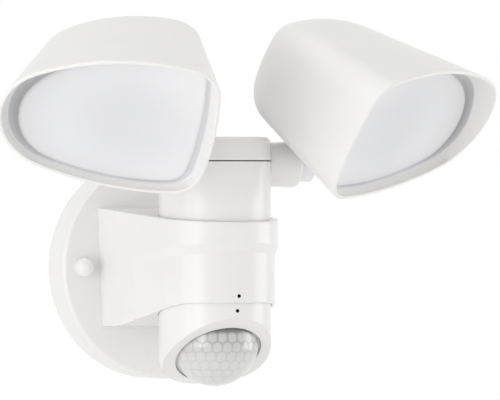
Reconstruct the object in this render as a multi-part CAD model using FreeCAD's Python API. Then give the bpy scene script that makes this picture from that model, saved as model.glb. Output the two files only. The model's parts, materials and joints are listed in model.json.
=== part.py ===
"""Wall light with two aimable lamp heads and a motion sensor, one solid per real piece.

Millimetres, +Z up. The wall is the plane Y = 0 and the light stands out towards -Y.
The origin is the centre of the wall plate's back face. +X is to the right of someone
who faces the light. The right-hand head is drawn level, tilted to its rest angle, and
mirrored for the left-hand one.
"""
import FreeCAD, Part
import math
import os
from FreeCAD import Vector

# ---------------------------------------------------------------- driving dimensions
# Wall plate, a shallow round cup that is open towards the wall
plate_radius = 60.0
plate_depth = 20.0
plate_front_wall = 2.5
plate_rim_wall = 4.0
plate_rim_fillet = 2.0
gasket_width = 1.8
gasket_depth = 1.5
cable_entry_radius = 9.0

# Mounting bar, its studs and the domed nuts that hold the plate on
bar_end = 5.0
bar_height = 18.0
bar_thickness = 2.0
box_screw_spacing = 60.0
box_slot_width = 4.8
box_slot_length = 11.0
stud_inset = 11.0
stud_radius = 2.0
stud_seal_radius = 4.2
stud_seal_thickness = 1.0
lock_nut_across_flats = 7.0
lock_nut_thickness = 3.0
cap_nut_radius = 5.3
cap_nut_skirt = 3.5
cap_nut_dome = 5.0
cap_nut_thread_depth = 6.0
earth_screw_x = 14.0
earth_screw_radius = 2.0
earth_head_radius = 3.6
earth_head_height = 2.4
terminal_ways = 3
terminal_pitch = 9.0
terminal_end_wall = 2.0
terminal_height = 13.0
terminal_depth = 13.0
terminal_z = 27.0
terminal_wire_radius = 1.8
terminal_screw_radius = 1.9
terminal_screw_length = 3.5
terminal_screw_rise = 3.2
terminal_slot = 0.7
terminal_slot_depth = 1.0

# Column
column_projection = 85.0
column_radius = 30.0
column_wall = 2.5
column_floor_z = -11.6
column_floor_thickness = 3.0
seam_z = 57.0
seam_gap = 0.6
seam_reveal = 0.8
cap_top_z = 69.8
cap_draft = 0.4
cap_fillet = 3.0
cap_lip_depth = 4.0
cap_lip_wall = 1.75
cap_web_height = 3.0
cap_screw_inset = 7.5
cap_boss_radius = 5.5
cap_boss_length = 24.0
cap_screw_grip = 12.0
cap_head_sink = 0.6
column_screw_heights = (-2.0, 22.0)
column_screw_length = 11.0
column_boss_radius = 4.0
column_boss_depth = 7.0
wire_hole_z = 10.0
wire_hole_radius = 5.0

# Bracket arm and the collar that it ends in
collar_gap = 0.3
collar_wall = 3.6
step_depth = 1.8
arm_nut_gap = 3.7
arm_root_half_height = 31.75
arm_draft = 0.042
# its underside: how far behind the column's axis each point is, and how far it has swept up to the collar
arm_sweep = ((52.0, 0.0), (28.0, 0.25), (-2.6, 0.74), (-18.0, 0.96))
collar_top_z = 24.3
collar_bottom_z = -18.6
step_top_z = 13.6
step_height = 4.9
step_slope = 0.13
step_fade_behind_axis = 25.0
arm_edge = 0.8
arm_wall = 3.0
arm_pad_size = 13.0
arm_pad_gap = 0.5
arm_pad_depth = 16.0

# Lamp sockets in the seam between column and cap, and the drums that turn in them
tilt_axis_z = 55.1
socket_radius = 11.9
socket_mouth_radius = 12.3
socket_projection = 17.3
socket_end_round = 2.8
socket_flare_length = 9.0
socket_lip = 2.4
socket_neck_radius = 10.0
socket_flange_radius = 12.0
socket_flange_inset = 8.0
socket_flange_thickness = 2.2
socket_shoulder_inset = 1.0
saddle_gap = 0.05
drum_radius = 9.25
drum_projection = 8.4
drum_bore = 4.5
drum_slant_bore = 2.6
drum_edge = 1.0
drum_tail = 1.2
neck_foot_rise = 3.0
neck_foot_half_width = 7.0
neck_foot_half_depth = 3.6
neck_inset = 1.2
running_fit = 0.08
clip_thickness = 1.0
clip_radius = 10.8
clip_opening = 6.0
clip_groove_depth = 0.9
clip_play = 0.05

# Swivel between drum and head
swivel_projection = 8.7
swivel_flange_radius = 8.0
swivel_flange_top = 13.6
swivel_flange_thickness = 2.0
swivel_gap = 0.3
tenon_radius = 6.0
tenon_bore = 3.5
swivel_seat_top = 22.5
swivel_boss_radius = 9.0
swivel_nut_height = 3.4
swivel_nut_across_flats = 15.0

# Lamp head: a hood whose mouth is a rounded triangle and which tapers to a domed back
head_yaw = 23.7
head_tilt = {"right": 44.1, "left": 41.3}
mouth_above_axis = 55.8
hood_swivel_across = -21.93
hood_swivel_from_back = 54.68
# the mouth's three corner circles, then the radii of the three bowed sides between them
low_corner_across = -42.0
low_corner_up = -12.4
low_corner_radius = 19.6
outer_corner_across = 19.8
outer_corner_up = -3.4
outer_corner_radius = 33.7
top_corner_across = -40.6
top_corner_up = 36.2
top_corner_radius = 16.3
low_bow = 172.0
outer_bow = 132.0
inner_bow = 188.0
hood_depth = 101.0
hood_back_round = 31.0
hood_back_ratio_across = 0.57
hood_back_ratio_up = 0.71
hood_back_shift_across = -6.8
hood_back_shift_up = -19.8
hood_wall = 2.2

# Lamp inside the hood
fit_gap = 0.3
# how far a rib or boss reaches into the wall that it grows out of
overlap = 0.5
diffuser_recess = 11.0
diffuser_inset = 6.0
diffuser_shift_across = -1.5
diffuser_shift_up = -2.4
diffuser_height = 4.2
diffuser_wall = 1.8
diffuser_edge = 2.6
diffuser_flange = 1.5
bezel_thickness = 2.0
led_gap = 3.2
led_board_thickness = 1.6
led_pitch = 13.0
led_columns = 6
led_rows = 4
led_size = (3.0, 3.0, 0.8)
sink_plate = 3.0
sink_wall = 2.0
fin_count = 5
fin_pitch = 14.0
fin_thickness = 2.0
fin_height = 9.0
fin_inset = 3.0
lamp_screw_offsets = ((-30.0, 12.0), (12.0, -8.0))
lamp_post_radius = 3.6
lamp_screw_length = 14.0
led_board_inset = 1.0
led_edge = 2.5
led_field_across = -5.0
led_field_up = 2.0

# Motion sensor
sensor_top_z = -12.0
sensor_bottom_z = -62.2
sensor_top_wall = 3.5
sensor_wall = 2.2
sensor_bottom_round = 15.0
face_slope = 37.0
face_centre_forward = 4.6
face_centre_z = -46.2
lens_hole_inset = 6.5
lens_dome_gap = 1.3
lens_centre_behind_face = 8.3
lens_wall = 1.2
lens_rim_recess = 0.7
lens_rim_step = 0.6
lens_flange_overlap = 1.7
lens_flange_thickness = 1.5
lens_facet_depth = 0.4
lens_facet_width = 4.85
lens_facet_pitch = 5.27
lens_row_pitch = 5.0
lens_top_row = 6.0
lens_facet_reach = 62.0
spigot_radius = 12.0
spigot_wall = 3.0
spigot_top_z = -5.0
spigot_clip_radius = 15.0
seal_ring_radius = 16.0
seal_ring_width = 1.6
seal_ring_depth = 1.6
seal_ring_proud = 0.1
carrier_ring_width = 2.4
carrier_ring_thickness = 1.2
carrier_post_radius = 1.6
carrier_inset = 1.0
carrier_posts = 3
pir_board_inset = 4.5
pir_board_behind_face = 10.5
pir_board_thickness = 1.6
pyro_radius = 4.6
pyro_height = 4.2
pyro_flange = 0.6
pyro_window = (4.0, 3.0, 0.2)
dial_spacing = 16.0
dial_z = -38.0
dial_radius = 3.8
dial_hole_radius = 4.1
dial_thickness = 2.4
dial_inset = 3.1
dial_shaft_radius = 1.5
dial_slot = 1.0
dial_slot_half = 2.4
dial_pointer = 0.8
dial_pointer_depth = 0.5
dial_pad_half = 6.0
dial_pad_gap = 0.6
pot_half_width = 4.2
pot_half_height = 4.5
pot_depth = 3.2
pot_gap = 0.1
pot_floor = 0.4
control_board_half_width = 16.0
control_board_below = 6.0
control_board_above = 9.0
control_board_thickness = 1.6
mark_radius = 1.0
mark_depth = 1.0
collar_mark_z = -15.0
sensor_mark_z = -22.9

# Screws
screw_radius = 1.6
screw_clearance_radius = 1.9
screw_head_radius = 3.1
screw_head_height = 2.0
screw_head_edge = 0.6
screw_slot = 1.0

# Driver board
board_inset = 5.0
board_bottom_z = -2.0
board_top_z = 41.0
board_thickness = 1.6
board_behind_axis = 8.2
rail_gap = 0.1
rail_width = 3.0
board_hole_radius = 1.6
board_hole_drop = 6.0
transformer_size = (18.0, 14.0, 18.0)
transformer_z = 12.0
transformer_core_lip = 2.0
# x, z, radius, height; then x, z, width, depth, height; then x, z, outer radius, inner radius, height
capacitors = ((-16.0, 3.0, 4.0, 12.0), (15.0, 34.0, 3.2, 9.0))
relay = (10.0, 0.0, 10.0, 7.0, 6.0)
choke = (-15.0, 30.0, 4.5, 2.0, 5.0)

# ---------------------------------------------------------------- derived places
X_AXIS = Vector(1, 0, 0)
Y_AXIS = Vector(0, 1, 0)
Z_AXIS = Vector(0, 0, 1)
TO_FRONT = Vector(0, -1, 0)
axis_y = -column_projection
plate_front = -plate_depth
plate_inside = -plate_depth + plate_front_wall
stud_x = plate_radius - stud_inset
bar_length = 2 * (stud_x + bar_end)
column_inside = column_radius - column_wall
collar_bore = column_radius + collar_gap
collar_radius = collar_bore + collar_wall
collar_lower_radius = collar_radius - step_depth
arm_root_half_width = stud_x - cap_nut_radius - arm_nut_gap
arm_low_half_width = arm_root_half_width - 2 * arm_draft * arm_root_half_height
arm_reach = 2 * arm_root_half_height
cap_screw_offset = column_radius - cap_screw_inset
floor_top_z = column_floor_z + column_floor_thickness
seam_low = seam_z - seam_gap / 2
seam_high = seam_z + seam_gap / 2
tilt_point = Vector(0, axis_y, tilt_axis_z)
socket_end_x = column_radius + socket_projection
socket_flare_x = socket_end_x - socket_end_round
socket_flange_x = column_radius - socket_flange_inset
socket_shoulder_x = column_inside - socket_shoulder_inset
drum_end_x = socket_end_x + drum_projection
swivel_x = socket_end_x + swivel_projection
board_half_width = column_radius - board_inset
cap_screw_seat_z = cap_top_z - screw_head_height - cap_head_sink
clip_room_x = socket_flange_x - 4 * clip_thickness
swivel_point = Vector(swivel_x, axis_y, tilt_axis_z)
swivel_tenon_top = swivel_seat_top + swivel_gap + swivel_nut_height + drum_edge
hood_turn = FreeCAD.Rotation(Z_AXIS, head_yaw)
hood_swivel = Vector(hood_swivel_across, hood_depth - hood_swivel_from_back, -mouth_above_axis)
mouth_centre = swivel_point - hood_turn.multVec(hood_swivel)
mouth_corners = ((low_corner_across, low_corner_up, low_corner_radius),
                 (outer_corner_across, outer_corner_up, outer_corner_radius),
                 (top_corner_across, top_corner_up, top_corner_radius))
mouth_bows = (low_bow, outer_bow, inner_bow)
lens_hole_radius = column_radius - lens_hole_inset
lens_dome_radius = math.hypot(lens_hole_radius - lens_dome_gap, lens_centre_behind_face)
lens_flange_radius = lens_hole_radius + lens_flange_overlap
pir_board_radius = lens_hole_radius - pir_board_inset
dial_face_behind_axis = column_radius - dial_inset
SIDES = ("left", "right")
parts = {}


# ---------------------------------------------------------------- shape helpers
def rod(radius, start, direction, length):
    return Part.makeCylinder(radius, length, start, direction)


def tube(outer, inner, start, direction, length):
    return rod(outer, start, direction, length).cut(rod(inner, start, direction, length))


def block(x0, x1, y0, y1, z0, z1):
    return Part.makeBox(x1 - x0, y1 - y0, z1 - z0, Vector(x0, y0, z0))


def hexagon(across_flats, start, direction, length):
    """A hexagonal bar that starts at a point and runs along a direction."""
    corner = across_flats / math.sqrt(3)
    points = [Vector(corner * math.cos(math.radians(60 * i)), corner * math.sin(math.radians(60 * i)), 0)
              for i in range(7)]
    bar = Part.Face(Part.makePolygon(points)).extrude(Vector(0, 0, length))
    bar.Placement = FreeCAD.Placement(start, FreeCAD.Rotation(Z_AXIS, direction))
    return bar


def turned(profile, origin, direction):
    """Revolves (along, radius) points about an axis through origin."""
    wire = Part.makePolygon([Vector(r, 0, a) for a, r in profile] + [Vector(profile[0][1], 0, profile[0][0])])
    solid = Part.Face(wire).revolve(Vector(0, 0, 0), Z_AXIS, 360)
    solid = Part.makeSolid(solid.Shells[0]) if solid.ShapeType != "Solid" else solid
    solid.Placement = FreeCAD.Placement(origin, FreeCAD.Rotation(Z_AXIS, direction))
    return solid


def joined(shapes):
    """One solid out of pieces that overlap."""
    return shapes[0].multiFuse(shapes[1:]).removeSplitter()


def edges_where(shape, test):
    return [edge for edge in shape.Edges if test(edge)]


def pan_screw(point, direction, length):
    """A pan-head screw: point is under the head, direction is the way its shank runs."""
    back = Vector(direction).multiply(-1)
    head = rod(screw_head_radius, point, back, screw_head_height)
    rim = edges_where(head, lambda e: abs((e.CenterOfMass - point).dot(back) - screw_head_height) < 1e-6
                      and len(e.Vertexes) == 1 and (e.Vertexes[0].Point - point).cross(back).Length > 1)
    head = head.makeChamfer(screw_head_edge, rim)
    cross = hexagon(screw_slot * 2, point + back * (screw_head_height / 2), back, screw_head_height)
    return joined([head.cut(cross), rod(screw_radius, point, direction, length)])


def column_point(across, behind, z):
    """A point given from the column's axis, with behind counted towards the wall."""
    return Vector(across, axis_y + behind, z)


def on_side(shape, side):
    """Tilts a level right-hand piece about the drum's axis and mirrors it if it is on the left."""
    placed = shape.copy()
    placed.rotate(tilt_point, X_AXIS, head_tilt[side])
    return placed if side == "right" else placed.mirror(Vector(0, 0, 0), X_AXIS)


def mirrored(shape, side):
    return shape if side == "right" else shape.mirror(Vector(0, 0, 0), X_AXIS)


# ---------------------------------------------------------------- wall plate and fixings
def wall_plate():
    cup = rod(plate_radius, Vector(0, 0, 0), TO_FRONT, plate_depth)
    front_edge = edges_where(cup, lambda e: abs(e.CenterOfMass.y - plate_front) < 1e-6)
    cup = cup.makeFillet(plate_rim_fillet, front_edge)
    cup = cup.cut(rod(plate_radius - plate_rim_wall, Vector(0, 1, 0), TO_FRONT,
                      plate_depth - plate_front_wall + 1))
    cup = cup.cut(gasket_ring())
    holes = [rod(cable_entry_radius, Vector(0, 0, 0), TO_FRONT, plate_depth + 1)]
    for x in (-stud_x, stud_x):
        holes.append(rod(stud_radius + fit_gap, Vector(x, 0, 0), TO_FRONT, plate_depth + 1))
        holes.append(rod(stud_seal_radius, Vector(x, plate_front - 1, 0), Y_AXIS, stud_seal_thickness + 1))
    for x, z in arm_screw_places():
        holes.append(rod(screw_clearance_radius, Vector(x, 0, z), TO_FRONT, plate_depth + 1))
    return cup.cut(Part.makeCompound(holes))


def gasket_ring():
    middle = plate_radius - plate_rim_wall / 2
    return tube(middle + gasket_width / 2, middle - gasket_width / 2, Vector(0, 0, 0), TO_FRONT, gasket_depth)


def arm_screw_places():
    x = arm_low_half_width - arm_wall - arm_pad_size / 2
    z = arm_root_half_height - arm_wall - arm_pad_size / 2
    return [(sx * x, sz * z) for sx in (-1, 1) for sz in (-1, 1)]


def mounting_bar():
    bar = block(-bar_length / 2, bar_length / 2, -bar_thickness, 0, -bar_height / 2, bar_height / 2)
    corners = edges_where(bar, lambda e: abs(e.Vertexes[0].Y - e.Vertexes[1].Y) > bar_thickness / 2)
    bar = bar.makeFillet(bar_height / 4, corners)
    cuts = []
    for side in (-1, 1):
        cuts.append(rod(stud_radius, Vector(side * stud_x, 1, 0), TO_FRONT, bar_thickness + 2))
        reach = (box_slot_length - box_slot_width) / 2
        x = side * box_screw_spacing / 2
        half = box_slot_width / 2
        cuts.append(block(x - reach, x + reach, -bar_thickness - 1, 1, -half, half))
        for end in (-reach, reach):
            cuts.append(rod(half, Vector(x + end, 1, 0), TO_FRONT, bar_thickness + 2))
    cuts.append(rod(earth_screw_radius, Vector(earth_screw_x, 1, 0), TO_FRONT, bar_thickness + 2))
    for cut in cuts:
        bar = bar.cut(cut)
    return bar


def both_studs(make):
    return Part.makeCompound([make(Vector(x, 0, 0)) for x in (-stud_x, stud_x)])


def stud(foot):
    return rod(stud_radius, foot, TO_FRONT, plate_depth + cap_nut_thread_depth)


def lock_nut(foot):
    start = foot + TO_FRONT * bar_thickness
    nut = hexagon(lock_nut_across_flats, start, TO_FRONT, lock_nut_thickness)
    return nut.cut(rod(stud_radius, foot, TO_FRONT, plate_depth))


def stud_seal(foot):
    return tube(stud_seal_radius, stud_radius + fit_gap / 2, Vector(foot.x, plate_front, 0), Y_AXIS,
                stud_seal_thickness)


def cap_nut(foot):
    """A domed nut: a short skirt, then an ellipsoid-like dome turned from an arc."""
    base = Vector(foot.x, plate_front, 0)
    sphere = (cap_nut_radius ** 2 + cap_nut_dome ** 2) / (2 * cap_nut_dome)
    dome = Part.makeSphere(sphere, base + TO_FRONT * (cap_nut_skirt + cap_nut_dome - sphere))
    room = rod(cap_nut_radius, base, TO_FRONT, cap_nut_skirt + 2 * cap_nut_dome)
    nut = dome.common(room).fuse(rod(cap_nut_radius, base, TO_FRONT, cap_nut_skirt)).removeSplitter()
    nut = nut.common(room)
    thread = rod(stud_radius + running_fit, base, TO_FRONT, cap_nut_thread_depth + fit_gap)
    return nut.cut(thread)


def earth_screw():
    x = earth_screw_x
    slot_floor = -bar_thickness - earth_head_height / 2
    head = rod(earth_head_radius, Vector(x, -bar_thickness, 0), TO_FRONT, earth_head_height)
    slot = block(x - bar_height, x + bar_height, slot_floor - earth_head_height, slot_floor,
                 -screw_slot / 2, screw_slot / 2)
    shank = rod(earth_screw_radius, Vector(x, 0, 0), TO_FRONT, -slot_floor)
    return joined([head.cut(slot), shank])


def terminal_screw_places():
    centres = [(i - (terminal_ways - 1) / 2) * terminal_pitch for i in range(terminal_ways)]
    return [(x, terminal_z + rise) for x in centres for rise in (-terminal_screw_rise, terminal_screw_rise)]


def terminal_block():
    half = terminal_ways * terminal_pitch / 2 + terminal_end_wall
    body = block(-half, half, plate_inside, plate_inside + terminal_depth,
                 terminal_z - terminal_height / 2, terminal_z + terminal_height / 2)
    middle = plate_inside + terminal_depth / 2
    bore = terminal_screw_radius + running_fit
    for x, z in terminal_screw_places():
        body = body.cut(rod(terminal_wire_radius, Vector(x, middle, terminal_z - terminal_height), Z_AXIS,
                            2 * terminal_height))
        body = body.cut(rod(bore, Vector(x, middle, z), Y_AXIS, terminal_depth))
    return body


def terminal_screws():
    made = []
    start = plate_inside + terminal_depth / 2 + terminal_wire_radius
    half_slot = terminal_slot / 2
    for x, z in terminal_screw_places():
        screw = rod(terminal_screw_radius, Vector(x, start, z), Y_AXIS, terminal_screw_length)
        slot = block(x - terminal_pitch / 2, x + terminal_pitch / 2,
                     start + terminal_screw_length - terminal_slot_depth, start + terminal_depth,
                     z - half_slot, z + half_slot)
        made.append(screw.cut(slot))
    return Part.makeCompound(made)


# ---------------------------------------------------------------- bracket arm with collar
def tangent_from(point, radius, side):
    """Where the line from a plan point touches a circle round the column's axis, seen from above."""
    dx, dy = point[0], point[1] - axis_y
    distance = math.hypot(dx, dy)
    angle = math.atan2(dy, dx) - side * math.acos(radius / distance)
    return radius * math.cos(angle), axis_y + radius * math.sin(angle)


def arm_plan(radius, z):
    """The arm's outline at a height: a straight root, flanks that run into a collar, and the round collar.

    The root narrows downwards, and the flanks of a smaller collar leave those of the full one at the
    fade point."""
    root = (arm_root_half_width - arm_draft * (arm_root_half_height - z), plate_front)
    full = tangent_from(root, collar_radius, 1)
    fade_y = axis_y + step_fade_behind_axis
    share = (root[1] - fade_y) / (root[1] - full[1])
    fade = (root[0] + (full[0] - root[0]) * share, fade_y)
    touch = tangent_from(fade, radius, 1) if radius < collar_radius else full
    right = [root, fade, touch]
    corners = [Vector(x, y, z) for x, y in right]
    others = [Vector(-x, y, z) for x, y in reversed(right)]
    front = Part.Arc(corners[-1], Vector(0, axis_y - radius, z), others[0]).toShape()
    edges = [Part.makeLine(a, b) for a, b in zip(corners, corners[1:])]
    edges += [front]
    edges += [Part.makeLine(a, b) for a, b in zip(others, others[1:])]
    edges += [Part.makeLine(others[-1], corners[0])]
    return Part.Wire(edges)


def arm_prism(radius):
    """The arm's full height of one outline, drafted from top to bottom."""
    return Part.makeLoft([arm_plan(radius, z) for z in (-arm_reach, arm_reach)], True, True)


def arm_side(inset):
    """The arm from the side: a straight sloping top and a bottom that sweeps up to the collar."""
    front = axis_y - collar_radius - 1
    reach = 2 * arm_root_half_width
    top_root = Vector(-reach, plate_front, arm_root_half_height - inset)
    top_front = Vector(-reach, front, collar_top_z - inset)
    low_root = Vector(-reach, plate_front, -arm_root_half_height + inset)
    rise = collar_bottom_z + arm_root_half_height
    sweep_points = [Vector(-reach, axis_y + behind, low_root.z + share * rise) for behind, share in arm_sweep]
    sweep = Part.BSplineCurve()
    sweep.interpolate(sweep_points)
    low_front = Vector(-reach, front, collar_bottom_z + inset)
    edges = [Part.makeLine(top_root, low_root), Part.makeLine(low_root, sweep_points[0]), sweep.toShape(),
             Part.makeLine(sweep_points[-1], low_front), Part.makeLine(low_front, top_front),
             Part.makeLine(top_front, top_root)]
    return Part.Face(Part.Wire(edges)).extrude(Vector(2 * reach, 0, 0))


def step_plane_slab(z_front, below):
    """Everything below, or above, the plane that tips down from the collar's front towards the wall."""
    reach = 4 * arm_reach
    front = axis_y - collar_radius
    far_z = -reach if below else reach
    points = [Vector(-reach, front + t, z_front - t * step_slope) for t in (-reach, reach)]
    points += [Vector(-reach, front + t, far_z) for t in (reach, -reach)]
    return Part.Face(Part.makePolygon(points + [points[0]])).extrude(Vector(2 * reach, 0, 0))


def slanted_outline(prism, z_front):
    """The outline of a prism where the step's plane cuts it."""
    normal = Vector(0, step_slope, 1).normalize()
    offset = Vector(0, axis_y - collar_radius, z_front).dot(normal)
    return prism.slice(normal, offset)[0]


def rounded_outline(body):
    """Rounds the arm's outline where its flanks and collar meet its top and its underside."""
    outline = []
    for edge in body.Edges:
        middle = edge.valueAt((edge.FirstParameter + edge.LastParameter) / 2)
        sides = [face for face in body.Faces if any(edge.isSame(other) for other in face.Edges)]
        normals = [face.normalAt(*face.Surface.parameter(middle)) for face in sides]
        upright = min(abs(normal.z) for normal in normals)
        level = max(abs(normal.z) for normal in normals)
        if middle.y < plate_front - arm_edge and upright < 0.3 and level > 0.7:
            outline.append(edge)
    return body.makeFillet(arm_edge, outline)


def bracket_arm():
    upper = arm_prism(collar_radius)
    lower = arm_prism(collar_lower_radius)
    step_low_z = step_top_z - step_height
    bevel = Part.makeLoft([slanted_outline(lower, step_low_z), slanted_outline(upper, step_top_z)],
                          True, True)
    body = joined([lower.common(step_plane_slab(step_low_z, True)), bevel,
                   upper.common(step_plane_slab(step_top_z, False))])
    body = rounded_outline(body.common(arm_side(0.0)))
    cavity = arm_cavity()
    body = body.cut(cavity)
    body = body.cut(rod(collar_bore, column_point(0, 0, -arm_reach), Z_AXIS, 2 * arm_reach))
    cuts = [rod(screw_radius, Vector(x, plate_front + 1, z), TO_FRONT, arm_pad_depth)
            for x, z in arm_screw_places()]
    behind_collar = collar_radius + column_wall
    cuts += [rod(screw_clearance_radius, column_point(0, behind_collar, z), TO_FRONT, collar_radius)
             for z in column_screw_heights]
    cuts.append(rod(wire_hole_radius, column_point(0, behind_collar, wire_hole_z), TO_FRONT, collar_radius))
    cuts.append(collar_mark())
    return body.cut(Part.makeCompound(cuts))


def arm_cavity():
    """The wire room in the arm, which leaves a pad for a screw in each corner of its root."""
    wall = arm_wall
    root = arm_low_half_width - wall
    neck = collar_radius - wall
    plan = [Vector(-root, plate_front + 1, -arm_reach), Vector(root, plate_front + 1, -arm_reach),
            Vector(neck, axis_y, -arm_reach), Vector(-neck, axis_y, -arm_reach)]
    room = Part.Face(Part.makePolygon(plan + [plan[0]])).extrude(Vector(0, 0, 2 * arm_reach))
    side = arm_side(wall)
    side = side.fuse(side.translated(Vector(0, 1, 0)))
    room = room.common(side)
    room = room.cut(rod(collar_radius, column_point(0, 0, -arm_reach), Z_AXIS, 2 * arm_reach))
    half = arm_pad_size / 2 + arm_pad_gap
    for x, z in arm_screw_places():
        pad = block(x - half, x + half, plate_front - arm_pad_depth, plate_front + 2, z - half, z + half)
        room = room.cut(pad)
    return room


def collar_mark():
    start = column_point(0, mark_depth - collar_lower_radius, collar_mark_z)
    return rod(mark_radius, start, TO_FRONT, mark_depth)


def arm_screws():
    return Part.makeCompound([pan_screw(Vector(x, plate_inside, z), TO_FRONT, arm_pad_depth - 3)
                              for x, z in arm_screw_places()])


# ---------------------------------------------------------------- column
def socket_hole(radius):
    """The bore for both sockets, half in the column and half in its cap."""
    return rod(radius, Vector(-2 * column_radius, axis_y, tilt_axis_z), X_AXIS, 4 * column_radius)


def column_housing():
    outside = rod(column_radius, column_point(0, 0, column_floor_z), Z_AXIS, seam_low - column_floor_z)
    inside = rod(column_inside, column_point(0, 0, floor_top_z), Z_AXIS, seam_low - floor_top_z + 1)
    body = outside.cut(inside)
    extras = []
    boss_z = seam_low - cap_boss_length
    for side in (-1, 1):
        extras.append(rod(cap_boss_radius, column_point(0, side * cap_screw_offset, boss_z), Z_AXIS,
                          cap_boss_length))
        inner, outer = sorted((side * (board_half_width - rail_width), side * (column_inside + overlap)))
        extras.append(block(inner, outer, axis_y + board_behind_axis - rail_width,
                            axis_y + board_behind_axis + board_thickness + rail_width,
                            floor_top_z - overlap, board_top_z - rail_width))
    for z in column_screw_heights:
        extras.append(rod(column_boss_radius, column_point(0, column_inside + overlap, z), TO_FRONT,
                          column_boss_depth))
    envelope = rod(column_radius, column_point(0, 0, column_floor_z), Z_AXIS, seam_low - column_floor_z)
    body = joined([body] + [extra.common(envelope) for extra in extras])
    cuts = [socket_hole(socket_neck_radius + fit_gap / 2)]
    cuts.append(rod(spigot_radius + running_fit, column_point(0, 0, column_floor_z - 1), Z_AXIS,
                    column_floor_thickness + 2))
    board_slot = rail_gap + board_thickness
    cuts.append(block(-board_half_width - rail_gap, board_half_width + rail_gap,
                      axis_y + board_behind_axis - rail_gap, axis_y + board_behind_axis + board_slot,
                      board_bottom_z - rail_gap, board_top_z))
    for z in column_screw_heights:
        cuts.append(rod(screw_radius, column_point(0, collar_radius, z), TO_FRONT, column_screw_length + 1))
    cuts.append(rod(wire_hole_radius, column_point(0, column_radius + 1, wire_hole_z), TO_FRONT,
                    2 * column_wall))
    for side in (-1, 1):
        foot = column_point(0, side * cap_screw_offset, seam_low - cap_screw_grip - 1)
        cuts.append(rod(screw_radius, foot, Z_AXIS, 2 * cap_screw_grip))
    for cut in cuts:
        body = body.cut(cut)
    return body


def column_screws():
    return Part.makeCompound([pan_screw(column_point(0, collar_radius, z), TO_FRONT, column_screw_length)
                              for z in column_screw_heights])


def cap_shell():
    """The cap's outside, a slightly drafted disc with a rounded top edge."""
    body = Part.makeCone(column_radius, column_radius - cap_draft, cap_top_z - seam_high,
                         column_point(0, 0, seam_high), Z_AXIS)
    top_edge = edges_where(body, lambda e: len(e.Vertexes) == 1 and abs(e.Vertexes[0].Z - cap_top_z) < 1e-6)
    return body.makeFillet(cap_fillet, top_edge)


def top_cap():
    body = cap_shell()
    body = body.cut(rod(column_inside, column_point(0, 0, seam_high - 1), Z_AXIS,
                        cap_top_z - seam_high - column_wall + 1))
    lip_outer = column_inside - fit_gap
    lip_inner = lip_outer - cap_lip_wall
    lip = tube(lip_outer, lip_inner, column_point(0, 0, seam_low - cap_lip_depth), Z_AXIS,
               cap_lip_depth + seam_gap)
    web = tube(column_inside + overlap, lip_inner, column_point(0, 0, seam_high), Z_AXIS, cap_web_height)
    cap_height = cap_top_z - seam_high
    towers = [rod(cap_boss_radius - 1, column_point(0, side * cap_screw_offset, seam_high), Z_AXIS,
                  cap_height - 1) for side in (-1, 1)]
    cuts = [socket_hole(socket_neck_radius + fit_gap / 2)]
    flange_room = math.sqrt(column_inside ** 2 - socket_flange_radius ** 2)
    for side in (-1, 1):
        boss_foot = column_point(0, side * cap_screw_offset, seam_low - cap_boss_length)
        lip = lip.cut(rod(cap_boss_radius + fit_gap, boss_foot, Z_AXIS, cap_boss_length))
        cuts.append(rod(socket_flange_radius + fit_gap, Vector(side * clip_room_x, axis_y, tilt_axis_z),
                        X_AXIS * side, flange_room - clip_room_x))
        cuts.append(rod(screw_clearance_radius, column_point(0, side * cap_screw_offset, seam_low), Z_AXIS,
                        2 * cap_height))
        cuts.append(rod(screw_head_radius + fit_gap,
                        column_point(0, side * cap_screw_offset, cap_screw_seat_z), Z_AXIS, cap_height))
    body = joined([body, web, lip] + towers)
    for cut in cuts:
        body = body.cut(cut)
    return body


def cap_screws():
    length = cap_screw_seat_z - seam_low + cap_screw_grip
    return Part.makeCompound([pan_screw(column_point(0, side * cap_screw_offset, cap_screw_seat_z),
                                        Vector(0, 0, -1), length) for side in (-1, 1)])


def cap_seal():
    ring = tube(column_radius - seam_reveal, column_inside + rail_gap, column_point(0, 0, seam_low), Z_AXIS,
                seam_gap)
    return ring.cut(socket_hole(socket_neck_radius + fit_gap / 2))


def driver_board():
    y = axis_y + board_behind_axis
    board = block(-board_half_width, board_half_width, y, y + board_thickness, board_bottom_z, board_top_z)
    return board.cut(rod(board_hole_radius, Vector(0, y - 1, board_top_z - board_hole_drop), Y_AXIS,
                         2 * board_thickness))


def driver_components():
    """Transformer, capacitors, relay and choke on the side of the board that faces front."""
    y = axis_y + board_behind_axis
    width, depth, height = transformer_size
    z = transformer_z
    coil = block(-width / 2, width / 2, y - depth, y, z, z + height)
    lip = transformer_core_lip
    core = block(-width / 2 - lip, width / 2 + lip, y - depth + lip, y - lip, z - lip, z + height + lip)
    pieces = [coil.fuse(core).removeSplitter()]
    for x, z, radius, height in capacitors:
        pieces.append(rod(radius, Vector(x, y, z), TO_FRONT, height))
    x, z, width, depth, height = relay
    pieces.append(block(x, x + width, y - depth, y, z, z + height))
    x, z, outer, inner, height = choke
    pieces.append(tube(outer, inner, Vector(x, y, z), TO_FRONT, height))
    return Part.makeCompound(pieces)


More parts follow.
